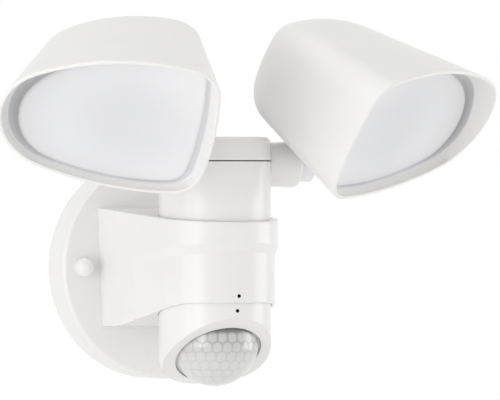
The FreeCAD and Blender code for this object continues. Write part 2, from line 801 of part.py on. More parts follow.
# ---------------------------------------------------------------- sockets and drums
def socket():
    """A fixed sleeve along X, saddled to the column, with a flange that the seam traps."""
    end = socket_end_x
    profile = [(socket_flange_x, drum_radius + running_fit), (socket_flange_x, socket_flange_radius),
               (socket_flange_x + socket_flange_thickness, socket_flange_radius),
               (socket_flange_x + socket_flange_thickness, socket_neck_radius),
               (socket_shoulder_x, socket_neck_radius), (socket_shoulder_x, socket_radius),
               (socket_flare_x - socket_flare_length, socket_radius), (socket_flare_x, socket_mouth_radius)]
    for degrees in (22.5, 45.0, 67.5, 90.0):
        turn = math.radians(degrees)
        profile.append((socket_flare_x + (end - socket_flare_x) * math.sin(turn),
                        socket_mouth_radius - socket_lip * (1 - math.cos(turn))))
    profile.append((end, drum_radius + running_fit))
    sleeve = turned(profile, tilt_point, X_AXIS)
    wall = tube(column_radius + saddle_gap, column_inside - column_wall,
                column_point(0, 0, tilt_axis_z - column_radius), Z_AXIS, 2 * column_radius)
    collar = tube(2 * socket_mouth_radius, socket_neck_radius, tilt_point, X_AXIS, 2 * column_radius)
    keep_out = wall.common(collar)
    return sleeve.cut(keep_out)


def drum():
    """The knuckle: a drum that turns in the socket, a neck that leans out, and the swivel's tenon."""
    start = socket_flange_x - clip_thickness - drum_tail
    body = rod(drum_radius, tilt_point + X_AXIS * start, X_AXIS, drum_end_x - start)
    end_edge = edges_where(body, lambda e: len(e.Vertexes) == 1 and abs(e.Vertexes[0].X - drum_end_x) < 1e-6)
    body = body.makeFillet(drum_edge, end_edge)
    foot_point = Vector((socket_end_x + drum_end_x) / 2, axis_y, tilt_axis_z + neck_foot_rise)
    foot = Part.Wire([Part.Ellipse(foot_point, neck_foot_half_width, neck_foot_half_depth).toShape()])
    foot.rotate(foot_point, Z_AXIS, 90)
    head_z = tilt_axis_z + swivel_flange_top - swivel_flange_thickness
    head_point = Vector(swivel_x, axis_y, head_z)
    head = Part.Wire([Part.Circle(head_point, Z_AXIS, swivel_flange_radius - neck_inset).toShape()])
    neck = Part.makeLoft([foot, head], True, False)
    flange = rod(swivel_flange_radius, head_point, Z_AXIS, swivel_flange_thickness)
    tenon = rod(tenon_radius, head_point, Z_AXIS, tilt_axis_z + swivel_tenon_top - head_z)
    body = joined([body, neck, flange, tenon])
    turn_x = foot_point.x - drum_edge
    wire_way = rod(drum_bore, tilt_point + X_AXIS * (start - 1), X_AXIS, turn_x - start + 1)
    lean = Vector(swivel_x - turn_x, 0, swivel_flange_top - swivel_flange_thickness)
    slant = rod(drum_slant_bore, tilt_point + X_AXIS * turn_x, lean, lean.Length + 1)
    riser = rod(tenon_bore, head_point, Z_AXIS, 2 * swivel_seat_top)
    groove_x = socket_flange_x - fit_gap - clip_thickness
    groove = tube(drum_radius + 2, drum_radius - clip_groove_depth,
                  tilt_point + X_AXIS * (groove_x - clip_play), X_AXIS, clip_thickness + 2 * clip_play)
    for cut in (wire_way, slant, riser, groove):
        body = body.cut(cut)
    return body


def drum_clip():
    """An open retaining ring in the drum's groove, just inside the socket's flange."""
    x = socket_flange_x - fit_gap - clip_thickness
    ring = tube(clip_radius, drum_radius - clip_groove_depth, tilt_point + X_AXIS * x, X_AXIS, clip_thickness)
    return ring.cut(block(x - 1, x + clip_thickness + 1, axis_y - clip_opening / 2, axis_y + clip_opening / 2,
                          tilt_axis_z - 2 * clip_radius, tilt_axis_z))


def swivel_nut():
    base = Vector(swivel_x, axis_y, tilt_axis_z + swivel_seat_top + swivel_gap)
    nut = hexagon(swivel_nut_across_flats, base, Z_AXIS, swivel_nut_height)
    return nut.cut(rod(tenon_radius, base, Z_AXIS, swivel_nut_height))


# ---------------------------------------------------------------- lamp head
def bow_centre(a, b, bow):
    """The centre of the arc of radius bow that hugs corner circles a and b from outside."""
    dx, dz = b[0] - a[0], b[1] - a[1]
    length = math.hypot(dx, dz)
    along = ((bow - a[2]) ** 2 - (bow - b[2]) ** 2 + length ** 2) / (2 * length)
    off = math.sqrt((bow - a[2]) ** 2 - along ** 2)
    return (a[0] + (dx * along - dz * off) / length, a[1] + (dz * along + dx * off) / length)


def rounded_triangle(corners, bows, depth):
    """Three corner arcs joined by three bowed sides, all tangent, in the plane at a depth."""
    count = len(corners)
    centres = [bow_centre(corners[i], corners[(i + 1) % count], bows[i]) for i in range(count)]

    def away(centre, corner):
        dx, dz = corner[0] - centre[0], corner[1] - centre[1]
        length = math.hypot(dx, dz)
        return dx / length, dz / length

    def at(centre, radius, direction):
        return Vector(centre[0] + radius * direction[0], depth, centre[1] + radius * direction[1])

    edges = []
    for i, corner in enumerate(corners):
        arriving = away(centres[i - 1], corner)
        leaving = away(centres[i], corner)
        middle = away((0, 0), (arriving[0] + leaving[0], arriving[1] + leaving[1]))
        edges.append(Part.Arc(at(corner, corner[2], arriving), at(corner, corner[2], middle),
                              at(corner, corner[2], leaving)).toShape())
        following = corners[(i + 1) % count]
        landing = away(centres[i], following)
        middle = away((0, 0), (leaving[0] + landing[0], leaving[1] + landing[1]))
        edges.append(Part.Arc(at(centres[i], bows[i], leaving), at(centres[i], bows[i], middle),
                              at(centres[i], bows[i], landing)).toShape())
    return Part.Wire(edges)


def hood_section(depth, inset=0.0, shrink=1.0, shift=(0.0, 0.0)):
    """The hood's outline at a depth behind its mouth, drawn inset by a wall and shrunk for its dome."""
    share = depth / hood_depth
    across = 1 + (hood_back_ratio_across - 1) * share
    up = 1 + (hood_back_ratio_up - 1) * share
    mean = (across + up) / 2 * shrink
    move_x = hood_back_shift_across * share + shift[0]
    move_z = hood_back_shift_up * share + shift[1]
    corners = [(x * across * shrink + move_x, z * up * shrink + move_z, r * mean - inset)
               for x, z, r in mouth_corners]
    return rounded_triangle(corners, [bow * mean - inset for bow in mouth_bows], depth)


def hood_loft(first_depth, wall):
    """The hood's outer or inner form: a straight taper, then a quarter round to the back."""
    start_of_round = hood_depth - hood_back_round
    radius = hood_back_round - wall
    back = hood_section(hood_depth).BoundBox
    half_back = (back.XLength + back.ZLength) / 4
    step = (start_of_round - first_depth) / 3
    sections = [hood_section(first_depth + i * step, wall) for i in range(4)]
    for degrees in (20, 40, 58, 72, 84):
        turn = math.radians(degrees)
        shrink = 1 - radius * (1 - math.cos(turn)) / (half_back - wall)
        sections.append(hood_section(start_of_round + radius * math.sin(turn), wall * shrink, shrink))
    return Part.makeLoft(sections, True, False)


def taper(first_depth, last_depth, inset):
    """A slice of the hood's form, drawn inset."""
    return Part.makeLoft([hood_section(first_depth, inset), hood_section(last_depth, inset)], True, True)


def straight(depth, length, inset, shift=(0.0, 0.0)):
    """A prism along the hood's axis whose outline is the hood's own at one depth."""
    return Part.Face(hood_section(depth, inset, 1.0, shift)).extrude(Vector(0, length, 0))


def to_level_head(shape):
    """From the hood's own frame, mouth at Y = 0 and depth along +Y, to its place with no tilt."""
    placed = shape.copy()
    placed.Placement = FreeCAD.Placement(mouth_centre, hood_turn).multiply(placed.Placement)
    return placed


def lamp_posts():
    """Two screw posts that come forward from the hood's back to the heat sink."""
    return [rod(lamp_post_radius, Vector(x, sink_back, z), Y_AXIS, hood_depth) for x, z in lamp_screw_offsets]


diffuser_back = diffuser_recess + diffuser_height
flange_back = diffuser_back + diffuser_flange
board_front = flange_back + led_gap
sink_front = board_front + led_board_thickness
sink_back = sink_front + sink_plate
diffuser_shift = (diffuser_shift_across, diffuser_shift_up)


def head_hood():
    outer = hood_loft(0.0, 0.0)
    inner = hood_loft(-2.0, hood_wall)
    shell = outer.cut(inner)
    posts = [post.common(inner) for post in lamp_posts()]
    shell = joined([shell] + posts)
    for x, z in lamp_screw_offsets:
        shell = shell.cut(rod(screw_radius, Vector(x, sink_back - 1, z), Y_AXIS, lamp_screw_length - 1))
    shell = to_level_head(shell)
    boss_bottom = tilt_axis_z + swivel_flange_top + swivel_gap
    boss_top = tilt_axis_z + swivel_seat_top
    boss = rod(swivel_boss_radius, Vector(swivel_x, axis_y, boss_bottom), Z_AXIS, boss_top - boss_bottom)
    shell = joined([shell, boss])
    return shell.cut(rod(tenon_radius + running_fit, swivel_point, Z_AXIS, swivel_seat_top + 1))


def bezel():
    """The frame between the hood's wall and the diffuser."""
    front = diffuser_back - bezel_thickness
    ring = taper(front, diffuser_back, hood_wall + fit_gap)
    window = straight(diffuser_recess, diffuser_back + 2, diffuser_inset - fit_gap / 2, diffuser_shift)
    return ring.cut(window)


def diffuser():
    """An opal tray with a soft front edge and a flange that the bezel traps."""
    tray = straight(diffuser_recess, diffuser_height, diffuser_inset, diffuser_shift)
    front = edges_where(tray, lambda e: abs(e.CenterOfMass.y - diffuser_recess) < 1e-6)
    tray = tray.makeFillet(diffuser_edge, front)
    flange = taper(diffuser_back, flange_back, hood_wall + fit_gap)
    hollow = straight(diffuser_recess, diffuser_height + diffuser_flange, diffuser_inset + diffuser_wall,
                      diffuser_shift)
    hollow.translate(Vector(0, diffuser_wall, 0))
    return joined([tray, flange]).cut(hollow)


def heat_sink():
    """A cast tray behind the lamp's board: a rim up to the diffuser's flange, a plate and fins."""
    edge = hood_wall + fit_gap
    tray = taper(flange_back, sink_back, edge)
    tray = tray.cut(taper(flange_back - 1, sink_front, edge + sink_wall))
    room = straight(sink_back + fin_height, -fin_height - sink_plate, hood_wall + fin_inset)
    fins = []
    for i in range(fin_count):
        x = (i - (fin_count - 1) / 2) * fin_pitch + hood_back_shift_across
        fin = block(x, x + fin_thickness, sink_back - sink_plate / 2, sink_back + fin_height,
                    -hood_depth, hood_depth)
        fins.append(fin.common(room))
    tray = joined([tray] + fins)
    for x, z in lamp_screw_offsets:
        tray = tray.cut(rod(lamp_post_radius + fit_gap, Vector(x, sink_back, z), Y_AXIS, fin_height + 1))
        tray = tray.cut(rod(screw_clearance_radius, Vector(x, sink_front - 1, z), Y_AXIS, 2 * sink_plate))
    nut_room = rod(swivel_nut_across_flats / math.sqrt(3) + fit_gap, hood_swivel, Z_AXIS,
                   swivel_tenon_top + fit_gap)
    return tray.cut(nut_room)


def led_board():
    board = straight(sink_back, -led_board_thickness, hood_wall + fit_gap + sink_wall + led_board_inset)
    board.translate(Vector(0, board_front + led_board_thickness - sink_back, 0))
    for x, z in lamp_screw_offsets:
        board = board.cut(rod(screw_head_radius + fit_gap, Vector(x, board_front - 1, z), Y_AXIS,
                              2 * led_board_thickness))
    return board


def leds():
    """The rows of emitters, left out where the rounded board has no room or a screw stands."""
    board_room = straight(sink_back, -led_board_thickness,
                          hood_wall + fit_gap + sink_wall + led_board_inset + led_edge)
    made = []
    width, height, thickness = led_size
    for column in range(led_columns):
        for row in range(led_rows):
            x = (column - (led_columns - 1) / 2) * led_pitch + led_field_across
            z = (row - (led_rows - 1) / 2) * led_pitch + led_field_up
            on_board = board_room.isInside(Vector(x, sink_back - led_board_thickness / 2, z), 0.01, True)
            near_screw = any(math.hypot(x - sx, z - sz) < led_pitch / 2 for sx, sz in lamp_screw_offsets)
            if on_board and not near_screw:
                made.append(block(x - width / 2, x + width / 2, board_front - thickness, board_front,
                                  z - height / 2, z + height / 2))
    return Part.makeCompound(made)


def lamp_screws():
    return Part.makeCompound([pan_screw(Vector(x, sink_front, z), Y_AXIS, lamp_screw_length)
                              for x, z in lamp_screw_offsets])


# ---------------------------------------------------------------- motion sensor
face_normal = Vector(0, -math.sin(math.radians(face_slope)), -math.cos(math.radians(face_slope)))
face_centre = column_point(0, -face_centre_forward, face_centre_z)
into_sensor = Vector(face_normal).multiply(-1)


def behind_face(distance):
    """A point on the lens axis, so far behind the sensor's slanted face."""
    return face_centre + into_sensor * distance


def sensor_form(wall):
    """A cylinder with a round bottom that the slanted face cuts off, drawn inset by a wall."""
    top = sensor_top_z - (sensor_top_wall if wall else 0.0)
    height = top - (sensor_bottom_z + wall)
    body = rod(column_radius - wall, column_point(0, 0, sensor_bottom_z + wall), Z_AXIS, height)
    low_edge = edges_where(body, lambda e: len(e.Vertexes) == 1
                           and abs(e.Vertexes[0].Z - sensor_bottom_z - wall) < 1e-6)
    body = body.makeFillet(sensor_bottom_round - wall, low_edge)
    return body.cut(rod(2 * column_radius, behind_face(wall), face_normal, 2 * column_radius))


def dial_places():
    return [(side * dial_spacing / 2, dial_z) for side in (-1, 1)]


def sensor_body():
    body = sensor_form(0.0)
    spigot = rod(spigot_radius, column_point(0, 0, sensor_top_z), Z_AXIS, spigot_top_z - sensor_top_z)
    inside = sensor_form(sensor_wall)
    pads = []
    pad_face = axis_y + dial_face_behind_axis - dial_thickness - dial_pad_gap
    half = dial_pad_half
    for x, z in dial_places():
        pad = block(x - half, x + half, pad_face, axis_y + column_radius, z - half, z + half)
        pads.append(pad.common(inside))
    body = joined([body.cut(inside), spigot] + pads)
    cuts = [rod(lens_hole_radius, behind_face(-1), into_sensor, sensor_wall + 2)]
    way_foot = column_point(0, 0, sensor_top_z - 2 * sensor_top_wall)
    cuts.append(rod(spigot_radius - spigot_wall, way_foot, Z_AXIS,
                    4 * sensor_top_wall + spigot_top_z - sensor_top_z))
    clip_z = floor_top_z + fit_gap
    cuts.append(tube(spigot_radius + 2, spigot_radius - clip_groove_depth,
                     column_point(0, 0, clip_z - clip_play), Z_AXIS, clip_thickness + 2 * clip_play))
    groove_half = seal_ring_width / 2 + fit_gap
    cuts.append(tube(seal_ring_radius + groove_half, seal_ring_radius - groove_half,
                     column_point(0, 0, sensor_top_z - seal_ring_depth), Z_AXIS, seal_ring_depth + 1))
    for x, z in dial_places():
        start = column_point(x, dial_face_behind_axis - 2 * dial_radius, z)
        cuts.append(rod(dial_hole_radius, start, Y_AXIS, 4 * dial_radius))
    cuts.append(sensor_mark())
    for cut in cuts:
        body = body.cut(cut)
    return body


def sensor_mark():
    return rod(mark_radius, column_point(0, -column_radius + mark_depth, sensor_mark_z), TO_FRONT, mark_depth)


def sensor_clip():
    z = floor_top_z + fit_gap
    ring = tube(spigot_clip_radius, spigot_radius - clip_groove_depth, column_point(0, 0, z), Z_AXIS,
                clip_thickness)
    return ring.cut(block(-clip_opening / 2, clip_opening / 2, axis_y, axis_y + 2 * spigot_clip_radius,
                          z - 1, z + clip_thickness + 1))


def sensor_seal():
    """A flat ring in the groove of the sensor's top."""
    half = seal_ring_width / 2
    return tube(seal_ring_radius + half, seal_ring_radius - half,
                column_point(0, 0, sensor_top_z - seal_ring_depth), Z_AXIS, seal_ring_depth + seal_ring_proud)


def lens_solid(radius, front, back, rim_front):
    """Dome, straight collar and flange of the lens, as one turned solid."""
    centre = behind_face(lens_centre_behind_face)
    in_front = rod(2 * radius, behind_face(rim_front), face_normal, 2 * radius)
    dome = Part.makeSphere(radius, centre).common(in_front)
    collar = rod(front, behind_face(rim_front), into_sensor, sensor_wall - rim_front + back)
    return joined([dome, collar])


def pir_lens():
    """The sensor's lens: a dome on a collar and flange, with hexagonal facets moulded into its inside."""
    rim = lens_rim_recess
    outside = lens_solid(lens_dome_radius, lens_hole_radius - fit_gap, 0.0, rim)
    flange = rod(lens_flange_radius, behind_face(sensor_wall), into_sensor, lens_flange_thickness)
    inside = lens_dome_radius - lens_wall
    room = Part.makeSphere(inside, behind_face(lens_centre_behind_face))
    room_back = sensor_wall + lens_flange_thickness + lens_rim_step
    room = room.common(rod(2 * inside, behind_face(room_back), face_normal, 2 * inside))
    throat = rod(inside - lens_rim_step, behind_face(rim + 2 * lens_rim_step), into_sensor, inside)
    shell = joined([outside, flange]).cut(room).cut(throat)
    return shell.cut(Part.makeCompound(facet_pockets()))


def facet_pockets():
    """Shallow hexagonal pockets in level rows, each row half a facet out of step with the one above it."""
    centre = behind_face(lens_centre_behind_face)
    inside = lens_dome_radius - lens_wall
    row_step = math.degrees(lens_row_pitch / inside)
    pockets = []
    for row in range(int((lens_top_row + 90) / row_step) + 1):
        rise = lens_top_row - row * row_step
        row_radius = inside * math.cos(math.radians(rise))
        count = max(1, round(2 * math.pi * row_radius / lens_facet_pitch))
        for i in range(count):
            turn = 360.0 * (i + (row % 2) / 2) / count
            pocket = hexagon(lens_facet_width, centre + TO_FRONT * (inside - 2 * lens_facet_depth), TO_FRONT,
                             3 * lens_facet_depth)
            pocket.rotate(centre, Y_AXIS, 30)
            pocket.rotate(centre, X_AXIS, -rise)
            pocket.rotate(centre, Z_AXIS, turn)
            if math.degrees((pocket.CenterOfMass - centre).getAngle(face_normal)) < lens_facet_reach:
                pockets.append(pocket)
    return pockets


def pir_carrier():
    """A ring that presses the lens into its seat, with three posts for the detector's board."""
    start = sensor_wall + lens_flange_thickness
    outer = lens_flange_radius - carrier_inset
    post_offset = pir_board_radius - carrier_post_radius
    ring = tube(outer, outer - carrier_ring_width, behind_face(start), into_sensor, carrier_ring_thickness)
    posts = []
    for i in range(carrier_posts):
        post = rod(carrier_post_radius, behind_face(start), into_sensor, pir_board_behind_face - start)
        arm = block(0, outer - post_offset, -carrier_post_radius, carrier_post_radius,
                    0, carrier_ring_thickness)
        arm.Placement = FreeCAD.Placement(behind_face(start), FreeCAD.Rotation(Z_AXIS, into_sensor))
        side = arm.Placement.Rotation.multVec(X_AXIS)
        post.translate(side * post_offset)
        arm.translate(side * post_offset)
        for piece in (post, arm):
            piece.rotate(face_centre, into_sensor, 90 + 360 * i / carrier_posts)
            posts.append(piece)
    room = sensor_form(sensor_wall + fit_gap)
    return joined([ring] + posts).common(room)


def pir_board():
    return rod(pir_board_radius, behind_face(pir_board_behind_face), into_sensor, pir_board_thickness)


def pyro_detector():
    """A flanged metal can with a window, on the detector's board."""
    base = behind_face(pir_board_behind_face)
    can = rod(pyro_radius - pyro_flange, base, face_normal, pyro_height)
    flange = rod(pyro_radius, base, face_normal, pyro_flange)
    width, height, depth = pyro_window
    window = block(-width / 2, width / 2, -height / 2, height / 2, -depth, depth)
    window.Placement = FreeCAD.Placement(base + face_normal * pyro_height,
                                         FreeCAD.Rotation(Z_AXIS, face_normal))
    return joined([can, flange]).cut(window)


def control_board():
    """A small board with the two potentiometers that the dials turn."""
    pot_front = axis_y + dial_face_behind_axis - dial_thickness - dial_pad_gap - pot_gap
    pot_back = pot_front - pot_depth
    half = control_board_half_width
    board = block(-half, half, pot_back - control_board_thickness, pot_back,
                  dial_z - control_board_below, dial_z + control_board_above)
    pots = [block(x - pot_half_width, x + pot_half_width, pot_back, pot_front,
                  z - pot_half_height, z + pot_half_height) for x, z in dial_places()]
    body = joined([board] + pots)
    for x, z in dial_places():
        bore_foot = Vector(x, pot_back + pot_floor, z)
        body = body.cut(rod(dial_shaft_radius + running_fit, bore_foot, Y_AXIS, pot_depth))
    return body


def dial(x, z):
    """A flush dial with a screwdriver slot and a pointer notch in its rim."""
    face = axis_y + dial_face_behind_axis
    knob = rod(dial_radius, Vector(x, face - dial_thickness, z), Y_AXIS, dial_thickness)
    shaft_foot = Vector(x, face - dial_thickness - pot_depth, z)
    shaft = rod(dial_shaft_radius, shaft_foot, Y_AXIS, pot_depth + pot_gap)
    slot = block(x - dial_slot / 2, x + dial_slot / 2, face - dial_slot, face + 1,
                 z - dial_slot_half, z + dial_slot_half)
    notch = block(x - dial_pointer / 2, x + dial_pointer / 2, face - dial_pointer_depth, face + 1,
                  z + dial_slot_half, z + 2 * dial_radius)
    return joined([knob, shaft]).cut(slot).cut(notch)


# ---------------------------------------------------------------- the whole light
def build():
    parts["wall_plate"] = wall_plate()
    parts["plate_gasket"] = gasket_ring()
    parts["mounting_bar"] = mounting_bar()
    parts["mounting_studs"] = both_studs(stud)
    parts["stud_lock_nuts"] = both_studs(lock_nut)
    parts["stud_seals"] = both_studs(stud_seal)
    parts["cap_nuts"] = both_studs(cap_nut)
    parts["earth_screw"] = earth_screw()
    parts["terminal_block"] = terminal_block()
    parts["terminal_screws"] = terminal_screws()
    parts["bracket_arm"] = bracket_arm()
    parts["arm_screws"] = arm_screws()
    parts["collar_mark"] = collar_mark()
    parts["column_housing"] = column_housing()
    parts["column_screws"] = column_screws()
    parts["top_cap"] = top_cap()
    parts["cap_screws"] = cap_screws()
    parts["cap_seal"] = cap_seal()
    parts["driver_board"] = driver_board()
    parts["driver_components"] = driver_components()
    level_socket = socket()
    knuckle = {"knuckle": drum(), "knuckle_clip": drum_clip(), "swivel_nut": swivel_nut()}
    lamp = {"bezel": bezel(), "diffuser": diffuser(), "heat_sink": heat_sink(), "led_board": led_board(),
            "leds": leds(), "lamp_screws": lamp_screws()}
    hood = head_hood()
    for side in SIDES:
        parts[side + "_socket"] = mirrored(level_socket, side)
        for name, shape in knuckle.items():
            parts[side + "_" + name] = on_side(shape, side)
        parts[side + "_hood"] = on_side(hood, side)
        for name, shape in lamp.items():
            parts[side + "_" + name] = on_side(to_level_head(shape), side)
    parts["sensor_body"] = sensor_body()
    parts["sensor_mark"] = sensor_mark()
    parts["sensor_clip"] = sensor_clip()
    parts["sensor_seal"] = sensor_seal()
    parts["pir_lens"] = pir_lens()
    parts["pir_carrier"] = pir_carrier()
    parts["pir_board"] = pir_board()
    parts["pyro_detector"] = pyro_detector()
    parts["control_board"] = control_board()
    (time_x, time_z), (light_x, light_z) = dial_places()
    parts["time_dial"] = dial(time_x, time_z)
    parts["light_level_dial"] = dial(light_x, light_z)


build()
os.makedirs("parts", exist_ok=True)
for name, shape in parts.items():
    shape.exportStep("parts/" + name + ".step")
    box = shape.BoundBox
    print("%-20s solids %2d valid %s volume %9.1f  x %.1f..%.1f  y %.1f..%.1f  z %.1f..%.1f" % (
        name, len(shape.Solids), shape.isValid(), shape.Volume,
        box.XMin, box.XMax, box.YMin, box.YMax, box.ZMin, box.ZMax))
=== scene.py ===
"""Looks of the wall light: smooth meshes for the shapes that show, and a material for every surface.

The scene is in metres. Points are worked out in millimetres, in the part's own frame, and scaled once.
"""
import bpy
import bmesh
import json
import math
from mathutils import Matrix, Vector


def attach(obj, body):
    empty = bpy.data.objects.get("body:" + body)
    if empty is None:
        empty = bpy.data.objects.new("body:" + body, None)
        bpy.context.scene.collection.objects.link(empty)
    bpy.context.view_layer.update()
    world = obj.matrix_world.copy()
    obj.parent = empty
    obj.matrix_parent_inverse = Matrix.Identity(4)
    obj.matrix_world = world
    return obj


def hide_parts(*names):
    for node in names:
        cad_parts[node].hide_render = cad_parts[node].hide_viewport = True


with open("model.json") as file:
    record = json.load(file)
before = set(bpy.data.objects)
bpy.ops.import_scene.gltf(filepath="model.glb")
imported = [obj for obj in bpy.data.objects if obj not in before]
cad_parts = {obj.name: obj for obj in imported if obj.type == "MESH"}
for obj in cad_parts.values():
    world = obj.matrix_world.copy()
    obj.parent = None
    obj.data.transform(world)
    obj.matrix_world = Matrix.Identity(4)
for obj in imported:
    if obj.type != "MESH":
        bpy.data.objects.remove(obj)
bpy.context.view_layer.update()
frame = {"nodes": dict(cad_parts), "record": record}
MM = 0.001

# Where the lamp heads sit, in millimetres and degrees. They tilt about a level line through the column's axis
# and face outward by the yaw. The mouth's place is that of a level head on the right; the left is its mirror.
AXIS_Y = -85.0
TILT_Z = 55.1
REST_TILT = {"right": 44.1, "left": 41.3}
YAW = math.radians(23.7)
MOUTH = Vector((94.7, AXIS_Y - 33.6, TILT_Z + 55.8))
SIDES = ("right", "left")


# ---------------------------------------------------------------- materials
def new_material(name):
    """A material with its nodes, their links and its shader."""
    material = bpy.data.materials.new(name)
    material.use_nodes = True
    nodes = material.node_tree.nodes
    links = material.node_tree.links
    shader = nodes["Principled BSDF"]
    return material, nodes, links, shader


def set_value(shader, name, value):
    shader.inputs[name].default_value = value


def texture_coordinates(nodes):
    return nodes.new("ShaderNodeTexCoord").outputs["Object"]


def noise(nodes, links, coords, scale, detail=3.0, roughness=0.5):
    node = nodes.new("ShaderNodeTexNoise")
    node.inputs["Scale"].default_value = scale
    node.inputs["Detail"].default_value = detail
    node.inputs["Roughness"].default_value = roughness
    links.new(coords, node.inputs["Vector"])
    return node.outputs["Fac"]


def ramp(nodes, links, fac, low, high, start=0.3, end=0.7):
    """Blends from one colour to another over the middle of a noise's range, where most of it lies."""
    node = nodes.new("ShaderNodeValToRGB")
    first, last = node.color_ramp.elements
    first.position = start
    first.color = (*low, 1.0)
    last.position = end
    last.color = (*high, 1.0)
    links.new(fac, node.inputs["Fac"])
    return node.outputs["Color"]


def spread(nodes, links, fac, low, high):
    """Maps a value from 0 to 1 onto a range."""
    node = nodes.new("ShaderNodeMapRange")
    node.inputs["To Min"].default_value = low
    node.inputs["To Max"].default_value = high
    links.new(fac, node.inputs["Value"])
    return node.outputs["Result"]


def bumped(nodes, links, shader, height, strength, distance, edge=0.0):
    """A fine relief, on normals that an edge radius rounds off where one is given."""
    node = nodes.new("ShaderNodeBump")
    if edge:
        rounded = nodes.new("ShaderNodeBevel")
        rounded.samples = 6
        rounded.inputs["Radius"].default_value = edge
        links.new(rounded.outputs["Normal"], node.inputs["Normal"])
    node.inputs["Strength"].default_value = strength
    node.inputs["Distance"].default_value = distance
    links.new(height, node.inputs["Height"])
    links.new(node.outputs["Normal"], shader.inputs["Normal"])


def shade(colour, factor):
    return tuple(min(1.0, c * factor) for c in colour)


def moulded_plastic(name, colour, rough, grain=900.0, depth=0.00002, coat=0.0, edge=0.0):
    """Moulded plastic: a faint cloudiness in its colour, a mottled sheen and a fine grain."""
    material, nodes, links, shader = new_material(name)
    coords = texture_coordinates(nodes)
    cloud = noise(nodes, links, coords, scale=22.0, detail=4.0)
    clouded = ramp(nodes, links, cloud, low=shade(colour, 0.985), high=shade(colour, 1.012))
    links.new(clouded, shader.inputs["Base Color"])
    mottle = noise(nodes, links, coords, scale=160.0)
    sheen = spread(nodes, links, mottle, low=rough - 0.03, high=rough + 0.04)
    links.new(sheen, shader.inputs["Roughness"])
    grains = noise(nodes, links, coords, scale=grain, detail=2.0)
    bumped(nodes, links, shader, grains, strength=0.35, distance=depth, edge=edge)
    set_value(shader, "Coat Weight", coat)
    set_value(shader, "Coat Roughness", 0.06)
    return material


# How much finer a metal's relief is along x, y and z: lines turned round an upright axis, upright lines from a
# brush, or the even grain of a casting.
TURNED = (1.0, 1.0, 14.0)
BRUSHED = (14.0, 1.0, 1.0)
CAST = (1.0, 1.0, 1.0)


def metal(name, colour, rough, lines=TURNED, scale=120.0, depth=0.00002):
    """Metal, turned, brushed or cast, with a little tarnish."""
    material, nodes, links, shader = new_material(name)
    coords = texture_coordinates(nodes)
    mapping = nodes.new("ShaderNodeMapping")
    mapping.inputs["Scale"].default_value = lines
    links.new(coords, mapping.inputs["Vector"])
    relief = noise(nodes, links, mapping.outputs["Vector"], scale, detail=4.0, roughness=0.65)
    tarnish = noise(nodes, links, coords, scale=60.0)
    tarnished = ramp(nodes, links, tarnish, low=shade(colour, 0.9), high=colour)
    links.new(tarnished, shader.inputs["Base Color"])
    sheen = spread(nodes, links, relief, low=rough - 0.06, high=rough + 0.08)
    links.new(sheen, shader.inputs["Roughness"])
    bumped(nodes, links, shader, relief, strength=0.3, distance=depth)
    set_value(shader, "Metallic", 1.0)
    return material


def rubber(name, colour, shine=0.4):
    """Rubber or ink: dark and matt, with a little dust."""
    material, nodes, links, shader = new_material(name)
    coords = texture_coordinates(nodes)
    dust = noise(nodes, links, coords, scale=260.0, detail=5.0, roughness=0.7)
    dusty = ramp(nodes, links, dust, low=colour, high=shade(colour, 1.8), start=0.35, end=0.8)
    links.new(dusty, shader.inputs["Base Color"])
    links.new(spread(nodes, links, dust, low=0.6, high=0.8), shader.inputs["Roughness"])
    bumped(nodes, links, shader, dust, strength=0.4, distance=0.00004)
    set_value(shader, "Specular IOR Level", shine)
    return material


def circuit_board(name, colour, copper):
    """Solder resist over tracks: a brick lattice stands in for the copper under the lacquer."""
    material, nodes, links, shader = new_material(name)
    coords = texture_coordinates(nodes)
    tracks = nodes.new("ShaderNodeTexBrick")
    tracks.inputs["Scale"].default_value = 160.0
    tracks.inputs["Color1"].default_value = (*colour, 1.0)
    tracks.inputs["Color2"].default_value = (*shade(colour, 1.1), 1.0)
    tracks.inputs["Mortar"].default_value = (*copper, 1.0)
    tracks.inputs["Mortar Size"].default_value = 0.03
    links.new(coords, tracks.inputs["Vector"])
    links.new(tracks.outputs["Color"], shader.inputs["Base Color"])
    fine = noise(nodes, links, coords, scale=500.0, detail=2.0)
    links.new(spread(nodes, links, fine, low=0.28, high=0.38), shader.inputs["Roughness"])
    bumped(nodes, links, shader, tracks.outputs["Fac"], strength=0.2, distance=0.00002)
    return material


TONE = "tone"


def toned(nodes, links, shader, cloud, low, high):
    """Base colour from the tones painted on the mesh, light and shade among them, a little clouded."""
    tone = nodes.new("ShaderNodeAttribute")
    tone.attribute_name = TONE
    mixed = nodes.new("ShaderNodeMix")
    mixed.data_type = "RGBA"
    mixed.blend_type = "MULTIPLY"
    mixed.inputs["Factor"].default_value = 1.0
    clouds = ramp(nodes, links, cloud, low=(low, low, low), high=(high, high, high))
    links.new(tone.outputs["Color"], mixed.inputs["A"])
    links.new(clouds, mixed.inputs["B"])
    links.new(mixed.outputs["Result"], shader.inputs["Base Color"])


def opal_plastic(name, rough):
    """The diffuser and the ring round it: opal and matt, in tones of painted light and shade that the mesh
    holds.
    """
    material, nodes, links, shader = new_material(name)
    coords = texture_coordinates(nodes)
    cloud = noise(nodes, links, coords, scale=9.0, detail=2.0, roughness=0.4)
    toned(nodes, links, shader, cloud, low=0.985, high=1.01)
    fine = noise(nodes, links, coords, scale=1400.0, detail=2.0)
    links.new(spread(nodes, links, fine, low=rough - 0.05, high=rough + 0.05), shader.inputs["Roughness"])
    bumped(nodes, links, shader, fine, strength=0.3, distance=0.00001)
    return material


